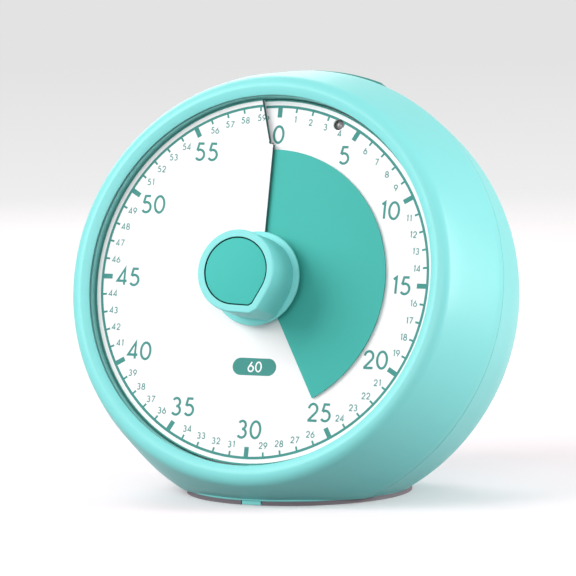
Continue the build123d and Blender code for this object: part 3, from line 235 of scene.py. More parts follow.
def plastic(name, colour, roughness, grain=0.35, mottle=0.03, coat=0.0, metallic=0.0, specular=0.5):
    """Moulded or turned surface: faint mottling of its colour and gloss, and a fine grain."""
    material = bpy.data.materials.new(name)
    material.use_nodes = True
    tree = material.node_tree
    shader = tree.nodes["Principled BSDF"]
    shader.inputs["Metallic"].default_value = metallic
    shader.inputs["Specular IOR Level"].default_value = specular
    shader.inputs["Coat Weight"].default_value = coat
    shader.inputs["Coat Roughness"].default_value = COAT_ROUGHNESS
    coords = tree.nodes.new("ShaderNodeTexCoord")
    cloud = tree.nodes.new("ShaderNodeTexNoise")
    cloud.inputs["Scale"].default_value = CLOUD_SCALE
    cloud.inputs["Detail"].default_value = 3.0
    tree.links.new(coords.outputs["Object"], cloud.inputs["Vector"])
    shade = tree.nodes.new("ShaderNodeMix")
    shade.data_type = "RGBA"
    shade.inputs["A"].default_value = tuple(c * (1 - mottle) for c in colour[:3]) + (1,)
    shade.inputs["B"].default_value = tuple(min(1, c * (1 + mottle)) for c in colour[:3]) + (1,)
    tree.links.new(cloud.outputs["Fac"], shade.inputs["Factor"])
    tree.links.new(shade.outputs["Result"], shader.inputs["Base Color"])
    gloss = tree.nodes.new("ShaderNodeMapRange")
    gloss.inputs["To Min"].default_value = max(ROUGHNESS_LEAST, roughness - GLOSS_SPREAD)
    gloss.inputs["To Max"].default_value = roughness + GLOSS_SPREAD
    tree.links.new(cloud.outputs["Fac"], gloss.inputs["Value"])
    tree.links.new(gloss.outputs["Result"], shader.inputs["Roughness"])
    texture = tree.nodes.new("ShaderNodeTexNoise")
    texture.inputs["Scale"].default_value = 1.0 / (GRAIN_SIZE * MM)
    texture.inputs["Detail"].default_value = 2.0
    tree.links.new(coords.outputs["Object"], texture.inputs["Vector"])
    bump = tree.nodes.new("ShaderNodeBump")
    bump.inputs["Strength"].default_value = grain
    bump.inputs["Distance"].default_value = GRAIN_DEPTH * MM
    tree.links.new(texture.outputs["Fac"], bump.inputs["Height"])
    tree.links.new(bump.outputs["Normal"], shader.inputs["Normal"])
    return material


# what the photograph shows
TEAL = srgb(134, 224, 222)
teal_case = plastic("teal_case", TEAL, 0.42)
ring_teal = plastic("ring_teal", srgb(140, 216, 211), 0.5)
white_sheet = plastic("white_sheet", srgb(248, 247, 248), 0.55, grain=0.15, mottle=0.008, specular=0.3)
print_teal = plastic("print_teal", srgb(68, 146, 138), 0.6, grain=0.15, specular=0.2)
small_print_teal = plastic("small_print_teal", srgb(84, 148, 142), 0.6, grain=0.15, specular=0.2)
disc_teal = plastic("disc_teal", srgb(70, 182, 172), 0.6, grain=0.2, specular=0.2)
knob_teal = plastic("knob_teal", TEAL, 0.45, specular=0.35)
inlay_teal = plastic("inlay_teal", srgb(70, 190, 180), 0.6, specular=0.2)
# painted shade: near-black teal on the faces that line the joint under the lip and the knob's groove,
# standing in for the shade in those narrow gaps
painted_gap_shade = plastic("painted_gap_shade", srgb(20, 52, 52), 0.8, grain=0.2, specular=0.1)
# painted shade: dark grey-teal on the high end's cut edge at the slit, standing in for the shade of the step
# and the gap under it
cut_edge = plastic("cut_edge", srgb(66, 112, 108), 0.7, grain=0.2, specular=0.1)
bar_teal = plastic("bar_teal", srgb(62, 140, 134), 0.5, specular=0.25)
pad_rubber = plastic("pad_rubber", srgb(122, 114, 120), 0.8, grain=0.7)
door_teal = plastic("door_teal", TEAL, 0.45)
lamp_grey = plastic("lamp_grey", srgb(122, 115, 118), 0.2, grain=0.05, coat=1.0)

# inside and at the back
black_plastic = plastic("black_plastic", srgb(38, 38, 40), 0.45)
white_plastic = plastic("white_plastic", srgb(226, 226, 222), 0.45)
acetal = plastic("acetal", srgb(232, 228, 214), 0.3)
zinc = plastic("zinc", srgb(170, 174, 178), 0.32, metallic=1.0, grain=0.2)
steel = plastic("steel", srgb(150, 152, 156), 0.28, metallic=1.0, grain=0.2)
brass = plastic("brass", srgb(205, 170, 98), 0.28, metallic=1.0, grain=0.2)
copper = plastic("copper", srgb(196, 112, 72), 0.3, metallic=1.0, grain=0.5)
nickel = plastic("nickel", srgb(188, 186, 178), 0.22, metallic=1.0, grain=0.15)
board_green = plastic("board_green", srgb(28, 104, 62), 0.35, coat=0.5)
cell_wrap = plastic("cell_wrap", srgb(96, 108, 120), 0.3)

NODES_OF_MATERIAL = [
    (teal_case, ("front_housing", "rear_cover")),
    (ring_teal, ("inner_ring",)),
    (white_sheet, ("dial_sheet",)),
    (disc_teal, ("time_disc",)),
    (knob_teal, ("knob",)),
    (inlay_teal, ("knob_inlay",)),
    (bar_teal, ("press_bar",)),
    (pad_rubber, ("foot_pad", "speaker_gasket")),
    (door_teal, ("battery_door",)),
    (lamp_grey, ("lamp",)),
    (acetal, ("disc_hub", "main_wheel", "second_wheel", "third_wheel")),
    (white_plastic, ("dial_plate", "base_plate", "battery_box", "movement_front")),
    (black_plastic, ("movement_back", "volume_slider", "board_chips", "tact_switch", "alarm_cam", "speaker")),
    (steel, ("rotor", "stator", "knob_shaft", "clutch_spring", "shaft_clip", "alarm_contact")),
    (copper, ("motor_coil",)),
    (brass, ("shaft_bushing", "bushing_nut")),
    (board_green, ("lamp_board", "main_board", "bar_board")),
    (cell_wrap, ("battery_cells",)),
    (nickel, ("contact_plates", "contact_springs", "volume_switch")),
]
cad_materials = {name: material for material, names in NODES_OF_MATERIAL for name in names}
for name, node in nodes.items():
    node.data.materials.clear()
    node.data.materials.append(cad_materials.get(name, zinc))

# ------------------------------------------------------------------ mesh helpers


def piece(name, points, faces, materials, body, slot, replaced=(), sharp=32.0, face_materials=None):
    """Mesh object from row-frame points in metres, riding on a body."""
    mesh = bpy.data.meshes.new(name)
    mesh.from_pydata([tuple(p) for p in points], [], faces)
    for material in materials:
        mesh.materials.append(material)
    if face_materials:
        mesh.polygons.foreach_set("material_index", face_materials)
    mesh.validate()
    shell = bpy.data.objects.new(name, mesh)
    bpy.context.scene.collection.objects.link(shell)
    smooth(shell, sharp)
    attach(shell, body)
    if replaced:
        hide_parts(*replaced)
    return shell


def smooth(shell, sharp=32.0):
    """Smooth shading with hard edges kept, and faces turned outwards."""
    work = bmesh.new()
    work.from_mesh(shell.data)
    bmesh.ops.recalc_face_normals(work, faces=work.faces)
    work.to_mesh(shell.data)
    work.free()
    shell.data.polygons.foreach_set("use_smooth", [True] * len(shell.data.polygons))
    shell.data.set_sharp_from_angle(angle=math.radians(sharp))


def arc(centre, radius, start, end, steps):
    """Points of an arc in a flat outline, its angles in degrees."""
    turn = [math.radians(start + (end - start) * i / steps) for i in range(steps + 1)]
    return [(centre[0] + radius * math.cos(a), centre[1] + radius * math.sin(a)) for a in turn]


def rounded(corners, steps=6):
    """Outline through corners given as (x, y, rounding)."""
    path = []
    count = len(corners)
    for i, (x, y, rounding) in enumerate(corners):
        here = Vector((x, y))
        if not rounding:
            path.append((x, y))
            continue
        before = Vector(corners[(i - 1) % count][:2]) - here
        after = Vector(corners[(i + 1) % count][:2]) - here
        half = before.angle(after) / 2
        centre = here + (before.normalized() + after.normalized()).normalized() * (rounding / math.sin(half))
        start = here + before.normalized() * (rounding / math.tan(half)) - centre
        end = here + after.normalized() * (rounding / math.tan(half)) - centre
        sweep = start.angle_signed(end)
        for step in range(steps + 1):
            turned = start.copy()
            turned.rotate(Matrix.Rotation(-sweep * step / steps, 2))
            path.append(tuple(centre + turned))
    return path


def revolved(profile, segments=360, closed=True, centre=(0, 0)):
    """Points and faces of a (radius, level) profile turned about the dial's axis or a line beside it."""
    count = len(profile)
    points = []
    for i in range(segments):
        turn = 2 * math.pi * i / segments
        for radius, level in profile:
            x, y = centre[0] + radius * math.sin(turn), centre[1] + radius * math.cos(turn)
            points.append(place(x, y, level))
    faces = []
    for i in range(segments):
        here = i * count
        following = (i + 1) % segments * count
        for j in range(count if closed else count - 1):
            k = (j + 1) % count
            faces.append((here + j, here + k, following + k, following + j))
    return points, faces


def joint_look(profile, level, segments=360):
    """Material index of a revolved profile's faces: 1 for those that line a joint at a level and take its
    painted shade, 0 elsewhere.
    """
    ends = zip(profile, profile[1:] + profile[:1])
    return [int(max(a[1], b[1]) == level and (a[1] == b[1] or a[0] == b[0])) for a, b in ends] * segments


def lofted(rings, cap_first=True, cap_last=True):
    """Points and faces of a skin over rings of equal length, with flat caps."""
    count = len(rings[0])
    points = [p for ring in rings for p in ring]
    faces = []
    for r in range(len(rings) - 1):
        for i in range(count):
            k = (i + 1) % count
            faces.append((r * count + i, r * count + k, (r + 1) * count + k, (r + 1) * count + i))
    if cap_first:
        faces.append(tuple(range(count))[::-1])
    if cap_last:
        faces.append(tuple((len(rings) - 1) * count + i for i in range(count)))
    return points, faces


def joined(meshes):
    """Points and faces of several meshes as one."""
    points, faces = [], []
    for more_points, more_faces in meshes:
        first = len(points)
        points += more_points
        faces += [tuple(first + i for i in face) for face in more_faces]
    return points, faces


def straight(outline, low, high):
    """Straight block along the dial's axis over an outline on the dial."""
    return lofted([[place(x, y, level) for x, y in outline] for level in (low, high)])


def circle(centre, radius, count=48):
    """Outline of a round on the dial."""
    turns = [2 * math.pi * i / count for i in range(count)]
    return [Vector(centre) + Vector((radius * math.cos(a), radius * math.sin(a))) for a in turns]


def slot_outline(centre, length, width, steps=12):
    """Outline of a slot with round ends that lies along x."""
    run = (length - width) / 2
    ends = [(run, math.pi * (i / steps - 0.5)) for i in range(steps + 1)]
    ends += [(-run, math.pi * (i / steps + 0.5)) for i in range(steps + 1)]
    return [(centre[0] + x + width / 2 * math.cos(a), centre[1] + width / 2 * math.sin(a)) for x, a in ends]


def rectangle(centre, size):
    """Outline of an upright rectangle on the dial."""
    left, right = centre[0] - size[0] / 2, centre[0] + size[0] / 2
    low, high = centre[1] - size[1] / 2, centre[1] + size[1] / 2
    return [(left, low), (right, low), (right, high), (left, high)]


def cut(shell, points, faces):
    """Take the volume of a mesh out of the shell."""
    mesh = bpy.data.meshes.new("openings")
    mesh.from_pydata([tuple(p) for p in points], [], faces)
    cutter = bpy.data.objects.new("openings", mesh)
    bpy.context.scene.collection.objects.link(cutter)
    smooth(cutter)
    tool = shell.modifiers.new("cut", "BOOLEAN")
    tool.operation = "DIFFERENCE"
    tool.solver = "EXACT"
    tool.object = cutter
    bpy.context.view_layer.update()
    depsgraph = bpy.context.evaluated_depsgraph_get()
    result = bpy.data.meshes.new_from_object(shell.evaluated_get(depsgraph))
    shell.modifiers.clear()
    old = shell.data
    shell.data = result
    bpy.data.meshes.remove(old)
    bpy.data.objects.remove(cutter)


def trimmed_at_foot(shell):
    """Cut a case shell off flat at the top of the foot pad."""
    work = bmesh.new()
    work.from_mesh(shell.data)
    bmesh.ops.bisect_plane(
        work,
        geom=work.verts[:] + work.edges[:] + work.faces[:],
        plane_co=(0, 0, (FOOT_THICKNESS + FOOT_TRIM) * MM),
        plane_no=(0, 0, 1),
        clear_inner=True,
    )
    work.to_mesh(shell.data)
    work.free()
    smooth(shell)


# ------------------------------------------------------------------ case

# where the dome starts at the shoulder and ends at the back's rounding, as angles about the dome's centre
shoulder_run = (SHOULDER[0] - DOME_CENTRE[0], SHOULDER[1] - DOME_CENTRE[1])
shoulder_reach = math.hypot(*shoulder_run)
DOME_START = math.degrees(
    math.atan2(shoulder_run[1], shoulder_run[0])
    - math.atan2(math.sqrt(shoulder_reach**2 - DOME_RADIUS**2), DOME_RADIUS)
)
back_drop = BACK_LEVEL + BACK_ROUND - DOME_CENTRE[1]
back_run = math.sqrt((DOME_RADIUS - BACK_ROUND) ** 2 - back_drop**2)
BACK_CORNER = (DOME_CENTRE[0] + back_run, BACK_LEVEL + BACK_ROUND)
DOME_END = math.degrees(math.atan2(back_drop, back_run))


def outer_radius(level):
    """Radius of the case's outside at a level behind the shoulder's rounding."""
    dome_level = DOME_CENTRE[1] + DOME_RADIUS * math.sin(math.radians(DOME_START))
    dome_radius = DOME_CENTRE[0] + DOME_RADIUS * math.cos(math.radians(DOME_START))
    if level > dome_level:
        share = (level - SHOULDER[1]) / (dome_level - SHOULDER[1])
        return SHOULDER[0] + share * (dome_radius - SHOULDER[0])
    return DOME_CENTRE[0] + math.sqrt(DOME_RADIUS**2 - (level - DOME_CENTRE[1]) ** 2)


def skin_level(x, y):
    """Level of the dome's outside behind a point of the dial."""
    run = math.hypot(x, y) - DOME_CENTRE[0]
    return DOME_CENTRE[1] - math.sqrt(DOME_RADIUS**2 - run**2)


SEAM_RADIUS = outer_radius(SEAM_LEVEL)
shoulder_end = (SEAM_RADIUS - SHOULDER_FALL[0], SEAM_LEVEL - SHOULDER_FALL[1])
shoulder_outline = rounded([(*FLANK, 0), (*SHOULDER, SHOULDER_ROUND), (*shoulder_end, 0)], steps=24)


def front_shell():
    """Front housing from the lip to the seam, with its inside."""
    face_drop = FACE[1] - FACE_ROUND - FLANK[1]
    face_run = FLANK[0] - FACE[0]
    flank_turn = math.degrees(
        math.acos(FACE_ROUND / math.hypot(face_run, face_drop)) - math.atan2(face_drop, face_run)
    )
    ring_seat = RING_OUTSIDE + RING_GAP
    profile = (
        rounded([(LIP[0], LIP_UNDERSIDE, 0), (*LIP, LIP_ROUND), (*FACE, 0)], steps=4)[:-1]
        + arc((FACE[0], FACE[1] - FACE_ROUND), FACE_ROUND, 90, flank_turn, steps=12)
        + [p for p in shoulder_outline if p[1] > SEAM_LEVEL + SEAM_GROOVE + POINT_GAP]
        + [(SEAM_RADIUS, SEAM_LEVEL + SEAM_GROOVE), (SEAM_RADIUS - SEAM_GROOVE, SEAM_LEVEL)]
        + [(SEAM_RADIUS - WALL, SEAM_LEVEL)]
        + HOUSING_INSIDE
        + [(ring_seat, RING_FOOT), (ring_seat, LIP_UNDERSIDE)]
    )
    # the lip's underside and the wall beside the ring take the painted shade of the joint under the lip
    shell = piece(
        "front_shell", *revolved(profile), [teal_case, painted_gap_shade], "case", "case_front", ["front_housing"],
        face_materials=joint_look(profile, LIP_UNDERSIDE),
    )
    trimmed_at_foot(shell)


def rear_openings():
    """Cutters of the bar's notch, the screw wells, the speaker's slots and the slider's slot."""
    half = BAR_HALF + BAR_GAP
    back = BAR_FRONT - BAR_LENGTH - BAR_GAP
    corner = BAR_CORNER + BAR_GAP
    notch = [(-half, SEAM_LEVEL + CUT_SPARE), (half, SEAM_LEVEL + CUT_SPARE)]
    notch += arc((half - corner, back + corner), corner, 0, -90, steps=8)
    notch += arc((corner - half, back + corner), corner, -90, -180, steps=8)
    openings = [lofted([[place(x, y, level) for x, level in notch] for y in NOTCH_SPAN])]
    for angle in CASE_SCREW_ANGLES:
        outline = circle(at(CASE_SCREW_CIRCLE, angle), WELL_RADIUS)
        openings.append(straight(outline, BACK_LEVEL - CUT_SPARE, WELL_FLOOR))
    outlines = []
    for i in range(GRILLE_SLOTS):
        rise = (i - (GRILLE_SLOTS - 1) / 2) * GRILLE_PITCH
        chord = 2 * math.sqrt(GRILLE_RADIUS**2 - rise**2)
        outlines.append(slot_outline((0, GRILLE_HEIGHT + rise), chord, GRILLE_WIDTH))
    outlines.append(rectangle(SLIDER_SLOT_AT, SLIDER_SLOT_SIZE))
    for outline in outlines:
        openings.append(straight(outline, BACK_LEVEL - CUT_SPARE, BACK_LEVEL + WALL + CUT_SPARE))
    return joined(openings)


def rear_shell():
    """Rear cover from the seam over the dome to the flat back, with its inside and its openings."""
    profile = (
        [(SEAM_RADIUS - WALL, SEAM_LEVEL), (SEAM_RADIUS - SEAM_GROOVE, SEAM_LEVEL)]
        + [(SEAM_RADIUS, SEAM_LEVEL - SEAM_GROOVE)]
        + [p for p in shoulder_outline if p[1] < SEAM_LEVEL - SEAM_GROOVE - POINT_GAP][:-1]
        + arc(DOME_CENTRE, DOME_RADIUS, DOME_START, DOME_END, steps=40)
        + arc(BACK_CORNER, BACK_ROUND, DOME_END, -90, steps=12)[1:]
        + [(AXIS_BORE, BACK_LEVEL), (AXIS_BORE, BACK_LEVEL + WALL)]
        + arc(BACK_CORNER, BACK_ROUND - WALL, -90, DOME_END, steps=8)
        + arc(DOME_CENTRE, DOME_RADIUS - WALL, DOME_END, DOME_START, steps=24)[1:]
    )
    shell = piece("rear_shell", *revolved(profile), [teal_case], "case", "case_rear", ["rear_cover"])
    cut(shell, *rear_openings())
    trimmed_at_foot(shell)


def screw_well(spot):
    """Points and faces of one well's wall and floor."""

    def ring(radius, level):
        return [place(x, y, level) for x, y in circle(spot, radius)]

    def rim(radius, depth):
        return [place(x, y, skin_level(x, y) + depth) for x, y in circle(spot, radius)]

    outer, inner = WELL_RADIUS + WELL_WALL, WELL_RADIUS + WELL_GAP
    rings = [ring(outer, WELL_ROOT), rim(outer, WELL_RIM[0]), rim(inner, WELL_RIM[1])]
    rings += [ring(inner, WELL_FLOOR), ring(WELL_BORE, WELL_FLOOR)]
    return lofted(rings, cap_first=False, cap_last=False)


def screw_wells():
    """Wells in which the case's screws stand."""
    wells = [screw_well(at(CASE_SCREW_CIRCLE, angle)) for angle in CASE_SCREW_ANGLES]
    piece("screw_wells", *joined(wells), [teal_case], "case", "case_rear")


def under_case(x, y):
    """Lowest height above the table at which a point of the foot's wall is inside the case's skin."""
    low, high = FOOT_THICKNESS, FOOT_WALL_MOST
    for _ in range(FOOT_HALVINGS):
        middle = (low + high) / 2
        offset = Vector((x, y, middle)) - DIAL_CENTRE
        level = offset.dot(DIAL_OUT)
        radius = math.hypot(offset.x, offset.dot(DIAL_UP))
        if level > SHOULDER[1]:
            skin = FLANK[0] + (FLANK[1] - level) * (SHOULDER[0] - FLANK[0]) / (FLANK[1] - SHOULDER[1])
        else:
            skin = outer_radius(level)
        if radius < skin - FOOT_LAP:
            high = middle
        else:
            low = middle
    return max(high, FOOT_THICKNESS + FOOT_WALL_LEAST)


def pedestal_wall():
    """Upright wall that joins the case's underside to the foot pad."""
    radii = (FOOT_RADIUS - WALL, FOOT_RADIUS - FOOT_CHAMFER, FOOT_RADIUS, FOOT_RADIUS)
    rings = [[], [], [], []]
    for i in range(FOOT_STEPS):
        turn = 2 * math.pi * i / FOOT_STEPS
        x, y = math.sin(turn), -math.cos(turn)
        top = under_case(x * FOOT_RADIUS, y * FOOT_RADIUS)
        heights = (FOOT_THICKNESS, FOOT_THICKNESS, FOOT_THICKNESS + FOOT_CHAMFER, top)
        for ring, radius, height in zip(rings, radii, heights):
            ring.append(Vector((x * radius, y * radius, height)) * MM)
    skin = lofted(rings, cap_first=False, cap_last=False)
    piece("pedestal_wall", *skin, [teal_case], "case", "case_front")


def inner_ring():
    """Ring between the sheet and the lip, painted dark as shade on top where the joint under the lip shows
    it.
    """
    profile = rounded([
        (RING_BORE[0], RING_FOOT, 0), (RING_BORE[1], RING_TOP, RING_ROUND),
        (RING_OUTSIDE, RING_TOP, 0), (RING_OUTSIDE, RING_FOOT, 0),
    ], steps=4)
    piece(
        "inner_ring_wall", *revolved(profile), [ring_teal, painted_gap_shade], "case", "ring", ["inner_ring"],
        face_materials=joint_look(profile, RING_TOP),
    )


# ------------------------------------------------------------------ lettering

# strokes of the plain figures in shares of their height: a line through points, or a ring or an arc
# given by its centre, its two radii and, for an arc, the angles of its ends
GLYPHS = {
    "0": [("ring", 0.31, 0.5, 0.31, 0.5)],
    "1": [("line", (0.12, 0.86), (0.3, 1.0), (0.3, 0.0))],
    "2": [
        ("arc", 0.3, 0.7, 0.27, 0.3, 175, -38),
        ("line", (0.515, 0.515), (0.03, 0.0)),
        ("line", (0.0, 0.0), (0.6, 0.0)),
    ],
    "3": [("arc", 0.27, 0.755, 0.23, 0.245, 150, -90), ("arc", 0.27, 0.265, 0.27, 0.265, 90, -150)],
    "4": [("line", (0.46, 0.0), (0.46, 1.0), (0.0, 0.24), (0.62, 0.24))],
    "5": [("line", (0.52, 1.0), (0.18, 1.0), (0.08, 0.56)), ("arc", 0.27, 0.31, 0.29, 0.31, 128, -145)],
    "6": [("line", (0.4, 1.0), (0.06, 0.46)), ("ring", 0.3, 0.3, 0.29, 0.3)],
    "7": [("line", (0.03, 1.0), (0.58, 1.0), (0.18, 0.0))],
    "8": [("ring", 0.3, 0.75, 0.22, 0.25), ("ring", 0.3, 0.26, 0.28, 0.26)],
    "9": [("line", (0.2, 0.0), (0.54, 0.54)), ("ring", 0.3, 0.7, 0.29, 0.3)],
}
GLYPH_WIDTH = 0.6
GLYPH_STEP = 0.74               # from the middle of one figure to the next one's
ONE_WIDTH = 0.42
ONE_STEP = 0.5
MITRE_LEAST = 0.35              # cosine at which a sharp corner's mitre stops growing


def stroke_points(stroke, fine):
    """Centre line of one stroke of a glyph, and whether it is closed."""
    if stroke[0] == "line":
        return list(stroke[1:]), False
    cx, cy, rx, ry = stroke[1:5]
    start, end = (0, 360) if stroke[0] == "ring" else stroke[5:7]
    steps = max(4, int(abs(end - start) / 360 * fine))
    turns = [math.radians(start + (end - start) * i / steps) for i in range(steps + 1)]
    line = [(cx + rx * math.cos(a), cy + ry * math.sin(a)) for a in turns]
    if stroke[0] == "ring":
        return line[:-1], True
    return line, False


def ribbon(line, closed, width):
    """Quads of a stroke of even width, its corners mitred."""
    count = len(line)
    sides = []
    for i, here in enumerate(line):
        here = Vector(here)
        before = Vector(line[i - 1]) if closed or i > 0 else None
        after = Vector(line[(i + 1) % count]) if closed or i < count - 1 else None
        runs = []
        if before is not None:
            runs.append((here - before).normalized())
        if after is not None:
            runs.append((after - here).normalized())
        normals = [Vector((-r.y, r.x)) for r in runs]
        mitre = sum(normals, Vector((0, 0))).normalized()
        reach = width / 2 / max(MITRE_LEAST, mitre.dot(normals[0]))
        sides.append((here + mitre * reach, here - mitre * reach))
    quads = []
    for i in range(count if closed else count - 1):
        k = (i + 1) % count
        quads.append([sides[i][0], sides[k][0], sides[k][1], sides[i][1]])
    return quads


def number(text, centre, height, weight, fine):
    """Quads of a number centred on a point, upright on the dial."""
    advance = [(ONE_STEP if char == "1" else GLYPH_STEP) * height for char in text]
    pen = centre[0] - sum(advance) / 2
    foot = centre[1] - height / 2 + weight / 2
    size = height - weight
    quads = []
    for char, step in zip(text, advance):
        width = (ONE_WIDTH if char == "1" else GLYPH_WIDTH) * height
        left = pen + (step - width) / 2 + weight / 2
        for stroke in GLYPHS[char]:
            line, closed = stroke_points(stroke, fine)
            quads += ribbon([(left + u * size, foot + v * size) for u, v in line], closed, weight)
        pen += step
    return quads


# ------------------------------------------------------------------ printed dial

# materials of the sheet's faces; of the kinds that share a face, the first one listed here is seen
LOOK_OF_KIND = {"pill_text": 0, "print": 1, "pill": 1, "small": 2}
# index of the painted shade on the high end's cut edge at the slit
SLIT_SHADE_LOOK = 3
INSIDE_ONLY = 1                 # the triangulation's kind of result: what the outlines hold
MERGE_DISTANCE = 1e-5

slit_line = [
    (SLIT_OFFSET, SHEET_BORE),
    (SLIT_OFFSET, SLIT_CORNER),
    (SLIT_OFFSET - SLIT_JOG, SLIT_CORNER + SLIT_JOG_RISE),
    at(SHEET_RADIUS + SLIT_OVERRUN, -SLIT_LEAN),
]


def slit_x(y):
    """x of the high end's edge at a height on the dial."""
    for (x0, y0), (x1, y1) in zip(slit_line, slit_line[1:]):
        if y <= y1:
            return x0 + (x1 - x0) * (y - y0) / (y1 - y0)
    return slit_line[-1][0]


def tick(angle, inner, outer, width):
    """Quad of a radial mark."""
    side = Vector((math.cos(math.radians(angle)), -math.sin(math.radians(angle)))) * width / 2
    low, high = Vector(at(inner, angle)), Vector(at(outer, angle))
    return [low - side, high - side, high + side, low + side]


def ring_quads(inner, outer, steps, start):
    """Quads of a flat ring about the dial's centre."""
    quads = []
    for i in range(steps):
        a, b = start + 360 / steps * i, start + 360 / steps * (i + 1)
        quads.append([Vector(at(inner, a)), Vector(at(outer, a)), Vector(at(outer, b)), Vector(at(inner, b))])
    return quads


def pill():
    """Outline of the dark pill under the knob."""
    radius = PILL_SIZE[1] / 2
    run = PILL_SIZE[0] / 2 - radius
    ends = [(run, a) for a in range(0, 181, 10)] + [(-run, a) for a in range(180, 361, 10)]
    corners = [(x, at(radius, a)) for x, a in ends]
    return [Vector((PILL_CENTRE[0] + x + across, PILL_CENTRE[1] + up)) for x, (across, up) in corners]


def sheet_regions():
    """Outlines on the sheet by kind: ground, cuts, and the print with its two weights and its pill."""
    regions = {"ground": [], "cut": [], "print": [], "small": [], "pill": [pill()]}
    for low, high in zip(SHEET_BANDS, SHEET_BANDS[1:]):
        regions["ground"] += ring_quads(low, high, SHEET_STEPS, SHEET_START)
    relief = (SLIT_OFFSET - SLIT_JOG, SLIT_CORNER + 2 * SLIT_RELIEF)
    regions["cut"] += [circle(at(*LAMP_AT), LAMP_HOLE), circle(relief, SLIT_RELIEF, count=16)]
    regions["print"] += ring_quads(*MINUTE_RING, MINUTE_RING_STEPS, MINUTE_RING_START)
    regions["print"] += ring_quads(*BORDER_RING, SHEET_STEPS, SHEET_START)
    for minute in range(60):
        angle = 6 * minute
        if minute % 5 == 0:
            regions["print"].append(tick(angle, *FIVE_TICK))
            regions["print"] += number(str(minute), at(FIVE_RADIUS, angle), *FIVE_LETTERS)
        else:
            regions["print"].append(tick(angle, *MINUTE_TICK))
            spot = at(MINUTE_RADIUS, angle + SHIFTED_NUMBERS.get(minute, 0))
            regions["small"] += number(str(minute), spot, *MINUTE_LETTERS)
    regions["pill_text"] = number("60", PILL_CENTRE, *PILL_LETTERS)
    return regions


def sheet_triangles():
    """Flat points of the sheet, cut along the slit, and its triangles, each with the kinds it belongs to."""
    points, outlines, kinds = [], [], []
    for kind, region in sheet_regions().items():
        for outline in region:
            area = sum(a.x * b.y - b.x * a.y for a, b in zip(outline, outline[1:] + outline[:1]))
            outlines.append(list(range(len(points), len(points) + len(outline))))
            points += outline if area > 0 else outline[::-1]
            kinds.append(kind)
    first = len(points)
    points += [Vector(p) for p in slit_line]
    slit_edges = [(first + i, first + i + 1) for i in range(len(slit_line) - 1)]
    flat, _, triangles, _, _, owners = delaunay_2d_cdt(
        points, slit_edges, outlines, INSIDE_ONLY, MERGE_DISTANCE, True
    )
    return flat, [(triangle, {kinds[i] for i in owner}) for triangle, owner in zip(triangles, owners)]


def printed_sheet():
    """The dial sheet as one mesh whose faces carry the print, climbing one pitch in a turn.

    The high end stops at the slit; the low end reaches on under it, so the disc can pass between them.
    """
    flat, triangles = sheet_triangles()
    top, index = [], {}

    def corner(i, low_end):
        """Index of a corner of the sheet on its low or high end, made when first asked for."""
        x, y = flat[i]
        angle = math.degrees(math.atan2(x, y))
        if not low_end and angle < 0:
            angle += 360
        if (i, angle) not in index:
            index[(i, angle)] = len(top)
            top.append((x, y, SCREW_PITCH * angle / 360))
        return index[(i, angle)]

    def on_high_edge(i):
        """Whether a corner is on the high end's cut edge."""
        x, y, level = top[i]
        return y > 0 and level > SCREW_PITCH * HIGH_END and abs(x - slit_x(y)) < SLIT_NEAR

    upper, looks = [], []
    for triangle, found in triangles:
        if "ground" not in found or "cut" in found:
            continue
        middle = sum((flat[i] for i in triangle), Vector((0, 0))) / len(triangle)
        heading = math.degrees(math.atan2(middle.x, middle.y))
        in_lap = middle.y > 0 and abs(heading) < SLIT_LAP
        right = in_lap and middle.x > slit_x(middle.y)
        upper.append(tuple(corner(i, right) for i in triangle))
        looks.append(next((look for kind, look in LOOK_OF_KIND.items() if kind in found), 0))
        if in_lap and not right:
            upper.append(tuple(corner(i, True) for i in triangle))
            looks.append(0)
    count = len(top)
    points = [place(*spot) for spot in top]
    for i, (x, y, level) in enumerate(top):
        points.append(place(x + (SLIT_BEVEL if on_high_edge(i) else 0), y, level - SHEET_THICKNESS))
    lower = [tuple(count + i for i in t[::-1]) for t in upper]
    edges = {(a, b) for t in upper for a, b in zip(t, t[1:] + t[:1])}
    rim = [(a, b) for a, b in edges if (b, a) not in edges]
    sides = [(b, a, count + a, count + b) for a, b in rim]
    # the high end's cut edge takes the painted shade of the slit
    side_looks = [SLIT_SHADE_LOOK if on_high_edge(a) and on_high_edge(b) else 0 for a, b in rim]
    return points, upper + lower + sides, looks + [0] * len(lower) + side_looks


def dial_sheet():
    """Sheet with the minutes' print, the slit and the lamp's hole."""
    points, faces, looks = printed_sheet()
    piece(
        "dial_sheet_printed", points, faces, [white_sheet, print_teal, small_print_teal, cut_edge],
        "case", "dial_print", ["dial_sheet"], face_materials=looks,
    )


# ------------------------------------------------------------------ time disc, knob, lamp and press bar


def time_disc():
    """Thin disc that climbs one pitch in a turn through the slit, at its place for the rest setting."""
    half = DISC_THICKNESS / 2
    profile = rounded([
        (HUB_RADIUS, -half, 0), (DISC_RADIUS, -half, DISC_EDGE),
        (DISC_RADIUS, half, DISC_EDGE), (HUB_RADIUS, half, 0),
    ], steps=3)
    rings = []
    for i in range(DISC_STEPS + 1):
        angle = REST_SETTING - DISC_SWEEP + DISC_SWEEP * i / DISC_STEPS
        lift = (SCREW_PITCH - SHEET_THICKNESS) / 2 + SCREW_PITCH * angle / 360
        rings.append([place(*at(radius, angle), level + lift) for radius, level in profile])
    piece("time_disc_plate", *lofted(rings), [disc_teal], "disc", "disc_teal", ["time_disc"])


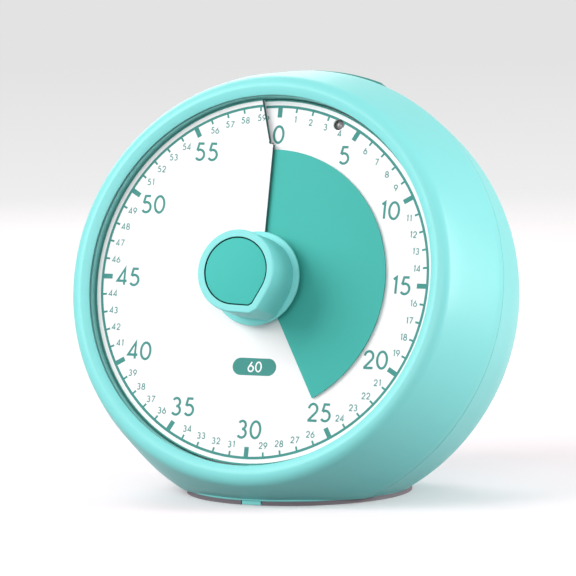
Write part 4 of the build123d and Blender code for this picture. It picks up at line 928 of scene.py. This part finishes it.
def nosed_outline(inset, level):
    """Knob's outline moved in by inset: a round with two flanks that run to the nose's small flat."""
    big = KNOB_RADIUS - inset
    cut_off = NOSE_CUT - inset * (1 / math.sin(NOSE_HALF) - 1)
    spread = 90 - math.degrees(NOSE_HALF)
    turns = [REST_SETTING + spread + (360 - 2 * spread) * i / KNOB_STEPS for i in range(KNOB_STEPS + 1)]
    corners = [(*at(big, turn), 0) for turn in turns]
    flat = Vector(at(big / math.sin(NOSE_HALF) - cut_off, REST_SETTING))
    half_flat = Vector(at(cut_off * math.tan(NOSE_HALF), REST_SETTING + 90))
    rounding = max(NOSE_CORNER_LEAST, NOSE_CORNER - NOSE_CORNER_SHARE * inset)
    corners += [(*(flat - half_flat), rounding), (*(flat + half_flat), rounding)]
    return [place(x, y, level) for x, y in rounded(corners, steps=4)]


def nosed_loft(profile):
    """Points and faces of a block with the knob's outline, over (inset, level) steps."""
    return lofted([nosed_outline(inset, level) for inset, level in profile])


def groove_look(profile, band, floor):
    """Material index of a nosed loft's faces: 1, the groove's painted shade, on the groove's wall, and on its
    floor if asked.
    """
    around = len(nosed_outline(0.0, 0.0))
    looks = [int(i == band) for i in range(len(profile) - 1) for _ in range(around)]
    return looks + [0, int(floor)]


def knob_body():
    """Knob with its nose, its rounded rim and the recess for the inlay."""
    quarter = [math.pi / 16 * i for i in range(1, 9)]
    profile = [(0.0, KNOB_FOOT), (0.0, KNOB_FACE - KNOB_RIM)]
    profile += [(KNOB_RIM * (1 - math.cos(a)), KNOB_FACE - KNOB_RIM * (1 - math.sin(a))) for a in quarter]
    profile += [(INLAY_OFFSET + inset, KNOB_FACE - depth) for inset, depth in GROOVE_RIM]
    # the groove's wall and floor take the painted shade of the groove
    piece(
        "knob_body", *nosed_loft(profile), [knob_teal, painted_gap_shade], "knob", "knob_shell", ["knob"], sharp=22,
        face_materials=groove_look(profile, len(profile) - 2, True),
    )


def knob_flange():
    """Round flange at the knob's foot."""
    low, high = FLANGE_LEVELS
    under, edge_foot, edge_top = FLANGE_ROUNDS
    profile = rounded([
        (FLANGE_BORE, low, 0), (FLANGE_RADIUS - FLANGE_UNDERCUT, low, under),
        (FLANGE_RADIUS, high - FLANGE_EDGE, edge_foot), (FLANGE_RADIUS, high, edge_top),
        (FLANGE_BORE, high, 0),
    ], steps=6)
    piece("knob_flange", *revolved(profile, segments=240), [knob_teal], "knob", "knob_shell")


def knob_inlay():
    """Teal inlay in the knob's face, a groove's width inside the recess."""
    edge = INLAY_OFFSET + INLAY_GROOVE
    profile = [(edge + inset, KNOB_FACE - depth) for inset, depth in INLAY_RIM]
    # the inlay's side wall, facing the groove, takes the groove's painted shade
    piece(
        "knob_inlay_face", *nosed_loft(profile), [inlay_teal, painted_gap_shade], "knob", "inlay_teal",
        ["knob_inlay"], sharp=22, face_materials=groove_look(profile, 0, False),
    )


def lamp_lens():
    """Indicator lamp with its domed end, in the hole beside the 4."""
    dome = [math.pi / 20 * i for i in range(1, 10)]
    profile = [(LAMP_RADIUS, LAMP_BACK), (LAMP_RADIUS, LENS_FOOT)]
    profile += [(LAMP_RADIUS * math.cos(a), LENS_FOOT + LENS_RISE * math.sin(a)) for a in dome]
    profile.append((AXIS_BORE, LENS_FOOT + LENS_RISE))
    mesh = revolved(profile, segments=48, closed=False, centre=at(*LAMP_AT))
    piece("lamp_lens", *mesh, [lamp_grey], "case", "lamp_white", ["lamp"])


def bar_outline(inset):
    """Press bar's outline moved in by inset, as x and the way forward from its middle."""
    half_x, half_run = BAR_HALF - inset, BAR_LENGTH / 2 - inset
    bends = []
    for across, ahead, start in ((1, 1, 0), (-1, 1, 90), (-1, -1, 180), (1, -1, 270)):
        corner = (BAR_FRONT_CORNER if ahead > 0 else BAR_CORNER) - inset
        corner = min(half_run, max(BAR_CORNER_LEAST, corner))
        centre = (across * (half_x - corner), ahead * (half_run - corner))
        bends.append(arc(centre, corner, start, start + 90, steps=8))
    outline = []
    for i, bend in enumerate(bends):
        here, following = Vector(bend[-1]), Vector(bends[(i + 1) % 4][0])
        steps = BAR_RUN_STEPS[i % 2]
        outline += bend + [tuple(here.lerp(following, step / steps)) for step in range(1, steps)]
    return outline


def bar_ring(inset, depth):
    """Ring on the press bar, inset from its outline and depth under its crown."""
    ring = []
    for x, ahead in bar_outline(inset):
        level = BAR_FRONT - BAR_LENGTH / 2 + ahead
        radius = outer_radius(level) + BAR_PROUD - depth
        ring.append(place(x, math.sqrt(radius**2 - x**2), level))
    return ring


def press_bar():
    """Press bar that follows the case's round and stands a little proud of it."""
    steps = BAR_RIM + [(inset, 0.0) for inset in BAR_INSETS]
    rings = [bar_ring(inset, depth) for inset, depth in steps]
    piece("press_bar_cap", *lofted(rings), [bar_teal], "bar", "bar_teal", ["press_bar"], sharp=50)


for build in (
    front_shell, rear_shell, screw_wells, pedestal_wall, inner_ring, dial_sheet,
    time_disc, knob_body, knob_flange, knob_inlay, lamp_lens, press_bar,
):
    build()

# ------------------------------------------------------------------ floor, light and camera, in metres

FLOOR_RADIUS = 1.1
FLOOR_ROUGHNESS = 0.9
FLOOR_FADE = (0.35, 1.05)               # radii between which the floor gives way to the backdrop
FLOOR_COLOUR = (0.97, 0.87, 0.895, 1)
FLOOR_BOUNCE = (0.22, 0.21, 0.21, 1)    # of the light that the floor throws back at the timer
FLOOR_GLOW = 0.13                       # of plain white, added to what the camera sees of it
WORLD_STRENGTH = 0.34
BACKDROP_FADE = (-0.125, -0.055)        # heights of view between which white turns to grey
BACKDROP_WHITE = (1, 1, 1, 1)
BACKDROP_GREY = srgb(227, 227, 227)
LAMP_AIM = Vector((0, 0, 0.06))
SOFTBOXES = [                           # name, place, width, height, power in watts
    ("key", (-0.8, -0.9, 0.75), 0.9, 0.9, 14.2),
    ("front", (0.35, -1.25, 0.35), 0.8, 0.5, 5.6),
    ("side", (1.1, 0.35, 0.3), 0.4, 0.8, 12.0),
    ("back", (-0.6, 0.7, 0.6), 0.7, 0.7, 5.0),
]
CAMERA_LENS = 298.98                    # and the sensor's width, in mm
CAMERA_SENSOR = 36.0
CAMERA_AT = Vector((0.57224, -1.22741, 0.19643))
CAMERA_TURN = math.radians(25.097)
CAMERA_DROP = math.radians(5.8397)
CAMERA_ROLL = math.radians(-0.9363)
scene = bpy.context.scene


def seen_directly(tree):
    """1 for what the camera sees, also in gloss or through glass, and 0 for light that bounces."""
    path = tree.nodes.new("ShaderNodeLightPath")
    result = path.outputs["Is Camera Ray"]
    for kind in ("Is Glossy Ray", "Is Transmission Ray"):
        either = tree.nodes.new("ShaderNodeMath")
        either.operation = "MAXIMUM"
        tree.links.new(result, either.inputs[0])
        tree.links.new(path.outputs[kind], either.inputs[1])
        result = either.outputs["Value"]
    return result


def floor_white():
    """Pale floor that takes the timer's shadow, throws little light back and fades out at its edge."""
    material = bpy.data.materials.new("floor_white")
    material.use_nodes = True
    tree = material.node_tree
    ground = tree.nodes["Principled BSDF"]
    ground.inputs["Base Color"].default_value = FLOOR_COLOUR
    ground.inputs["Roughness"].default_value = FLOOR_ROUGHNESS
    ground.inputs["Specular IOR Level"].default_value = 0.0
    bounce = tree.nodes.new("ShaderNodeBsdfDiffuse")
    bounce.inputs["Color"].default_value = FLOOR_BOUNCE
    glow = tree.nodes.new("ShaderNodeEmission")
    glow.inputs["Strength"].default_value = FLOOR_GLOW
    lifted = tree.nodes.new("ShaderNodeAddShader")
    tree.links.new(ground.outputs["BSDF"], lifted.inputs[0])
    tree.links.new(glow.outputs["Emission"], lifted.inputs[1])
    surface = tree.nodes.new("ShaderNodeMixShader")
    tree.links.new(seen_directly(tree), surface.inputs["Fac"])
    tree.links.new(bounce.outputs["BSDF"], surface.inputs[1])
    tree.links.new(lifted.outputs["Shader"], surface.inputs[2])
    clear = tree.nodes.new("ShaderNodeBsdfTransparent")
    blend = tree.nodes.new("ShaderNodeMixShader")
    spot = tree.nodes.new("ShaderNodeTexCoord")
    reach = tree.nodes.new("ShaderNodeVectorMath")
    reach.operation = "LENGTH"
    fade = tree.nodes.new("ShaderNodeMapRange")
    fade.inputs["From Min"].default_value, fade.inputs["From Max"].default_value = FLOOR_FADE
    tree.links.new(spot.outputs["Object"], reach.inputs[0])
    tree.links.new(reach.outputs["Value"], fade.inputs["Value"])
    tree.links.new(fade.outputs["Result"], blend.inputs["Fac"])
    tree.links.new(surface.outputs["Shader"], blend.inputs[1])
    tree.links.new(clear.outputs["BSDF"], blend.inputs[2])
    tree.links.new(blend.outputs["Shader"], tree.nodes["Material Output"].inputs["Surface"])
    return material


def lay_floor():
    """Round plain floor under the timer."""
    mesh = bpy.data.meshes.new("floor")
    work = bmesh.new()
    bmesh.ops.create_circle(work, cap_ends=True, radius=FLOOR_RADIUS, segments=128)
    work.to_mesh(mesh)
    work.free()
    mesh.materials.append(floor_white())
    floor = bpy.data.objects.new("floor", mesh)
    scene.collection.objects.link(floor)


def light_world():
    """Even white light, and a backdrop that goes from white to grey for what is seen directly."""
    world = bpy.data.worlds.new("studio")
    scene.world = world
    world.use_nodes = True
    tree = world.node_tree
    light = tree.nodes["Background"]
    light.inputs["Color"].default_value = (1, 1, 1, 1)
    light.inputs["Strength"].default_value = WORLD_STRENGTH
    backdrop = tree.nodes.new("ShaderNodeBackground")
    backdrop.inputs["Strength"].default_value = 1.0
    coords = tree.nodes.new("ShaderNodeTexCoord")
    split = tree.nodes.new("ShaderNodeSeparateXYZ")
    band = tree.nodes.new("ShaderNodeMapRange")
    band.inputs["From Min"].default_value, band.inputs["From Max"].default_value = BACKDROP_FADE
    shade = tree.nodes.new("ShaderNodeMix")
    shade.data_type = "RGBA"
    shade.inputs["A"].default_value = BACKDROP_WHITE
    shade.inputs["B"].default_value = BACKDROP_GREY
    tree.links.new(coords.outputs["Generated"], split.inputs["Vector"])
    tree.links.new(split.outputs["Z"], band.inputs["Value"])
    tree.links.new(band.outputs["Result"], shade.inputs["Factor"])
    tree.links.new(shade.outputs["Result"], backdrop.inputs["Color"])
    either = tree.nodes.new("ShaderNodeMixShader")
    tree.links.new(seen_directly(tree), either.inputs["Fac"])
    tree.links.new(light.outputs["Background"], either.inputs[1])
    tree.links.new(backdrop.outputs["Background"], either.inputs[2])
    tree.links.new(either.outputs["Shader"], tree.nodes["World Output"].inputs["Surface"])


def softbox(name, position, width, height, power):
    """Soft rectangular lamp that faces the timer's middle."""
    lamp = bpy.data.lights.new(name, "AREA")
    lamp.shape = "RECTANGLE"
    lamp.size = width
    lamp.size_y = height
    lamp.energy = power
    holder = bpy.data.objects.new(name, lamp)
    scene.collection.objects.link(holder)
    holder.location = position
    aim = LAMP_AIM - Vector(position)
    holder.rotation_euler = aim.to_track_quat("-Z", "Y").to_euler()


def set_camera():
    """Camera at the photograph's viewing angle."""
    data = bpy.data.cameras.new("camera")
    data.lens = CAMERA_LENS
    data.sensor_width = CAMERA_SENSOR
    data.clip_start = 0.05
    data.clip_end = 20.0
    camera = bpy.data.objects.new("camera", data)
    scene.collection.objects.link(camera)
    camera.matrix_world = (
        Matrix.Translation(CAMERA_AT)
        @ Matrix.Rotation(CAMERA_TURN, 4, "Z")
        @ Matrix.Rotation(math.pi / 2 - CAMERA_DROP, 4, "X")
        @ Matrix.Rotation(CAMERA_ROLL, 4, "Z")
    )
    scene.camera = camera


lay_floor()
light_world()
for box in SOFTBOXES:
    softbox(*box)
scene.view_settings.view_transform = "Standard"
set_camera()

bpy.context.view_layer.update()
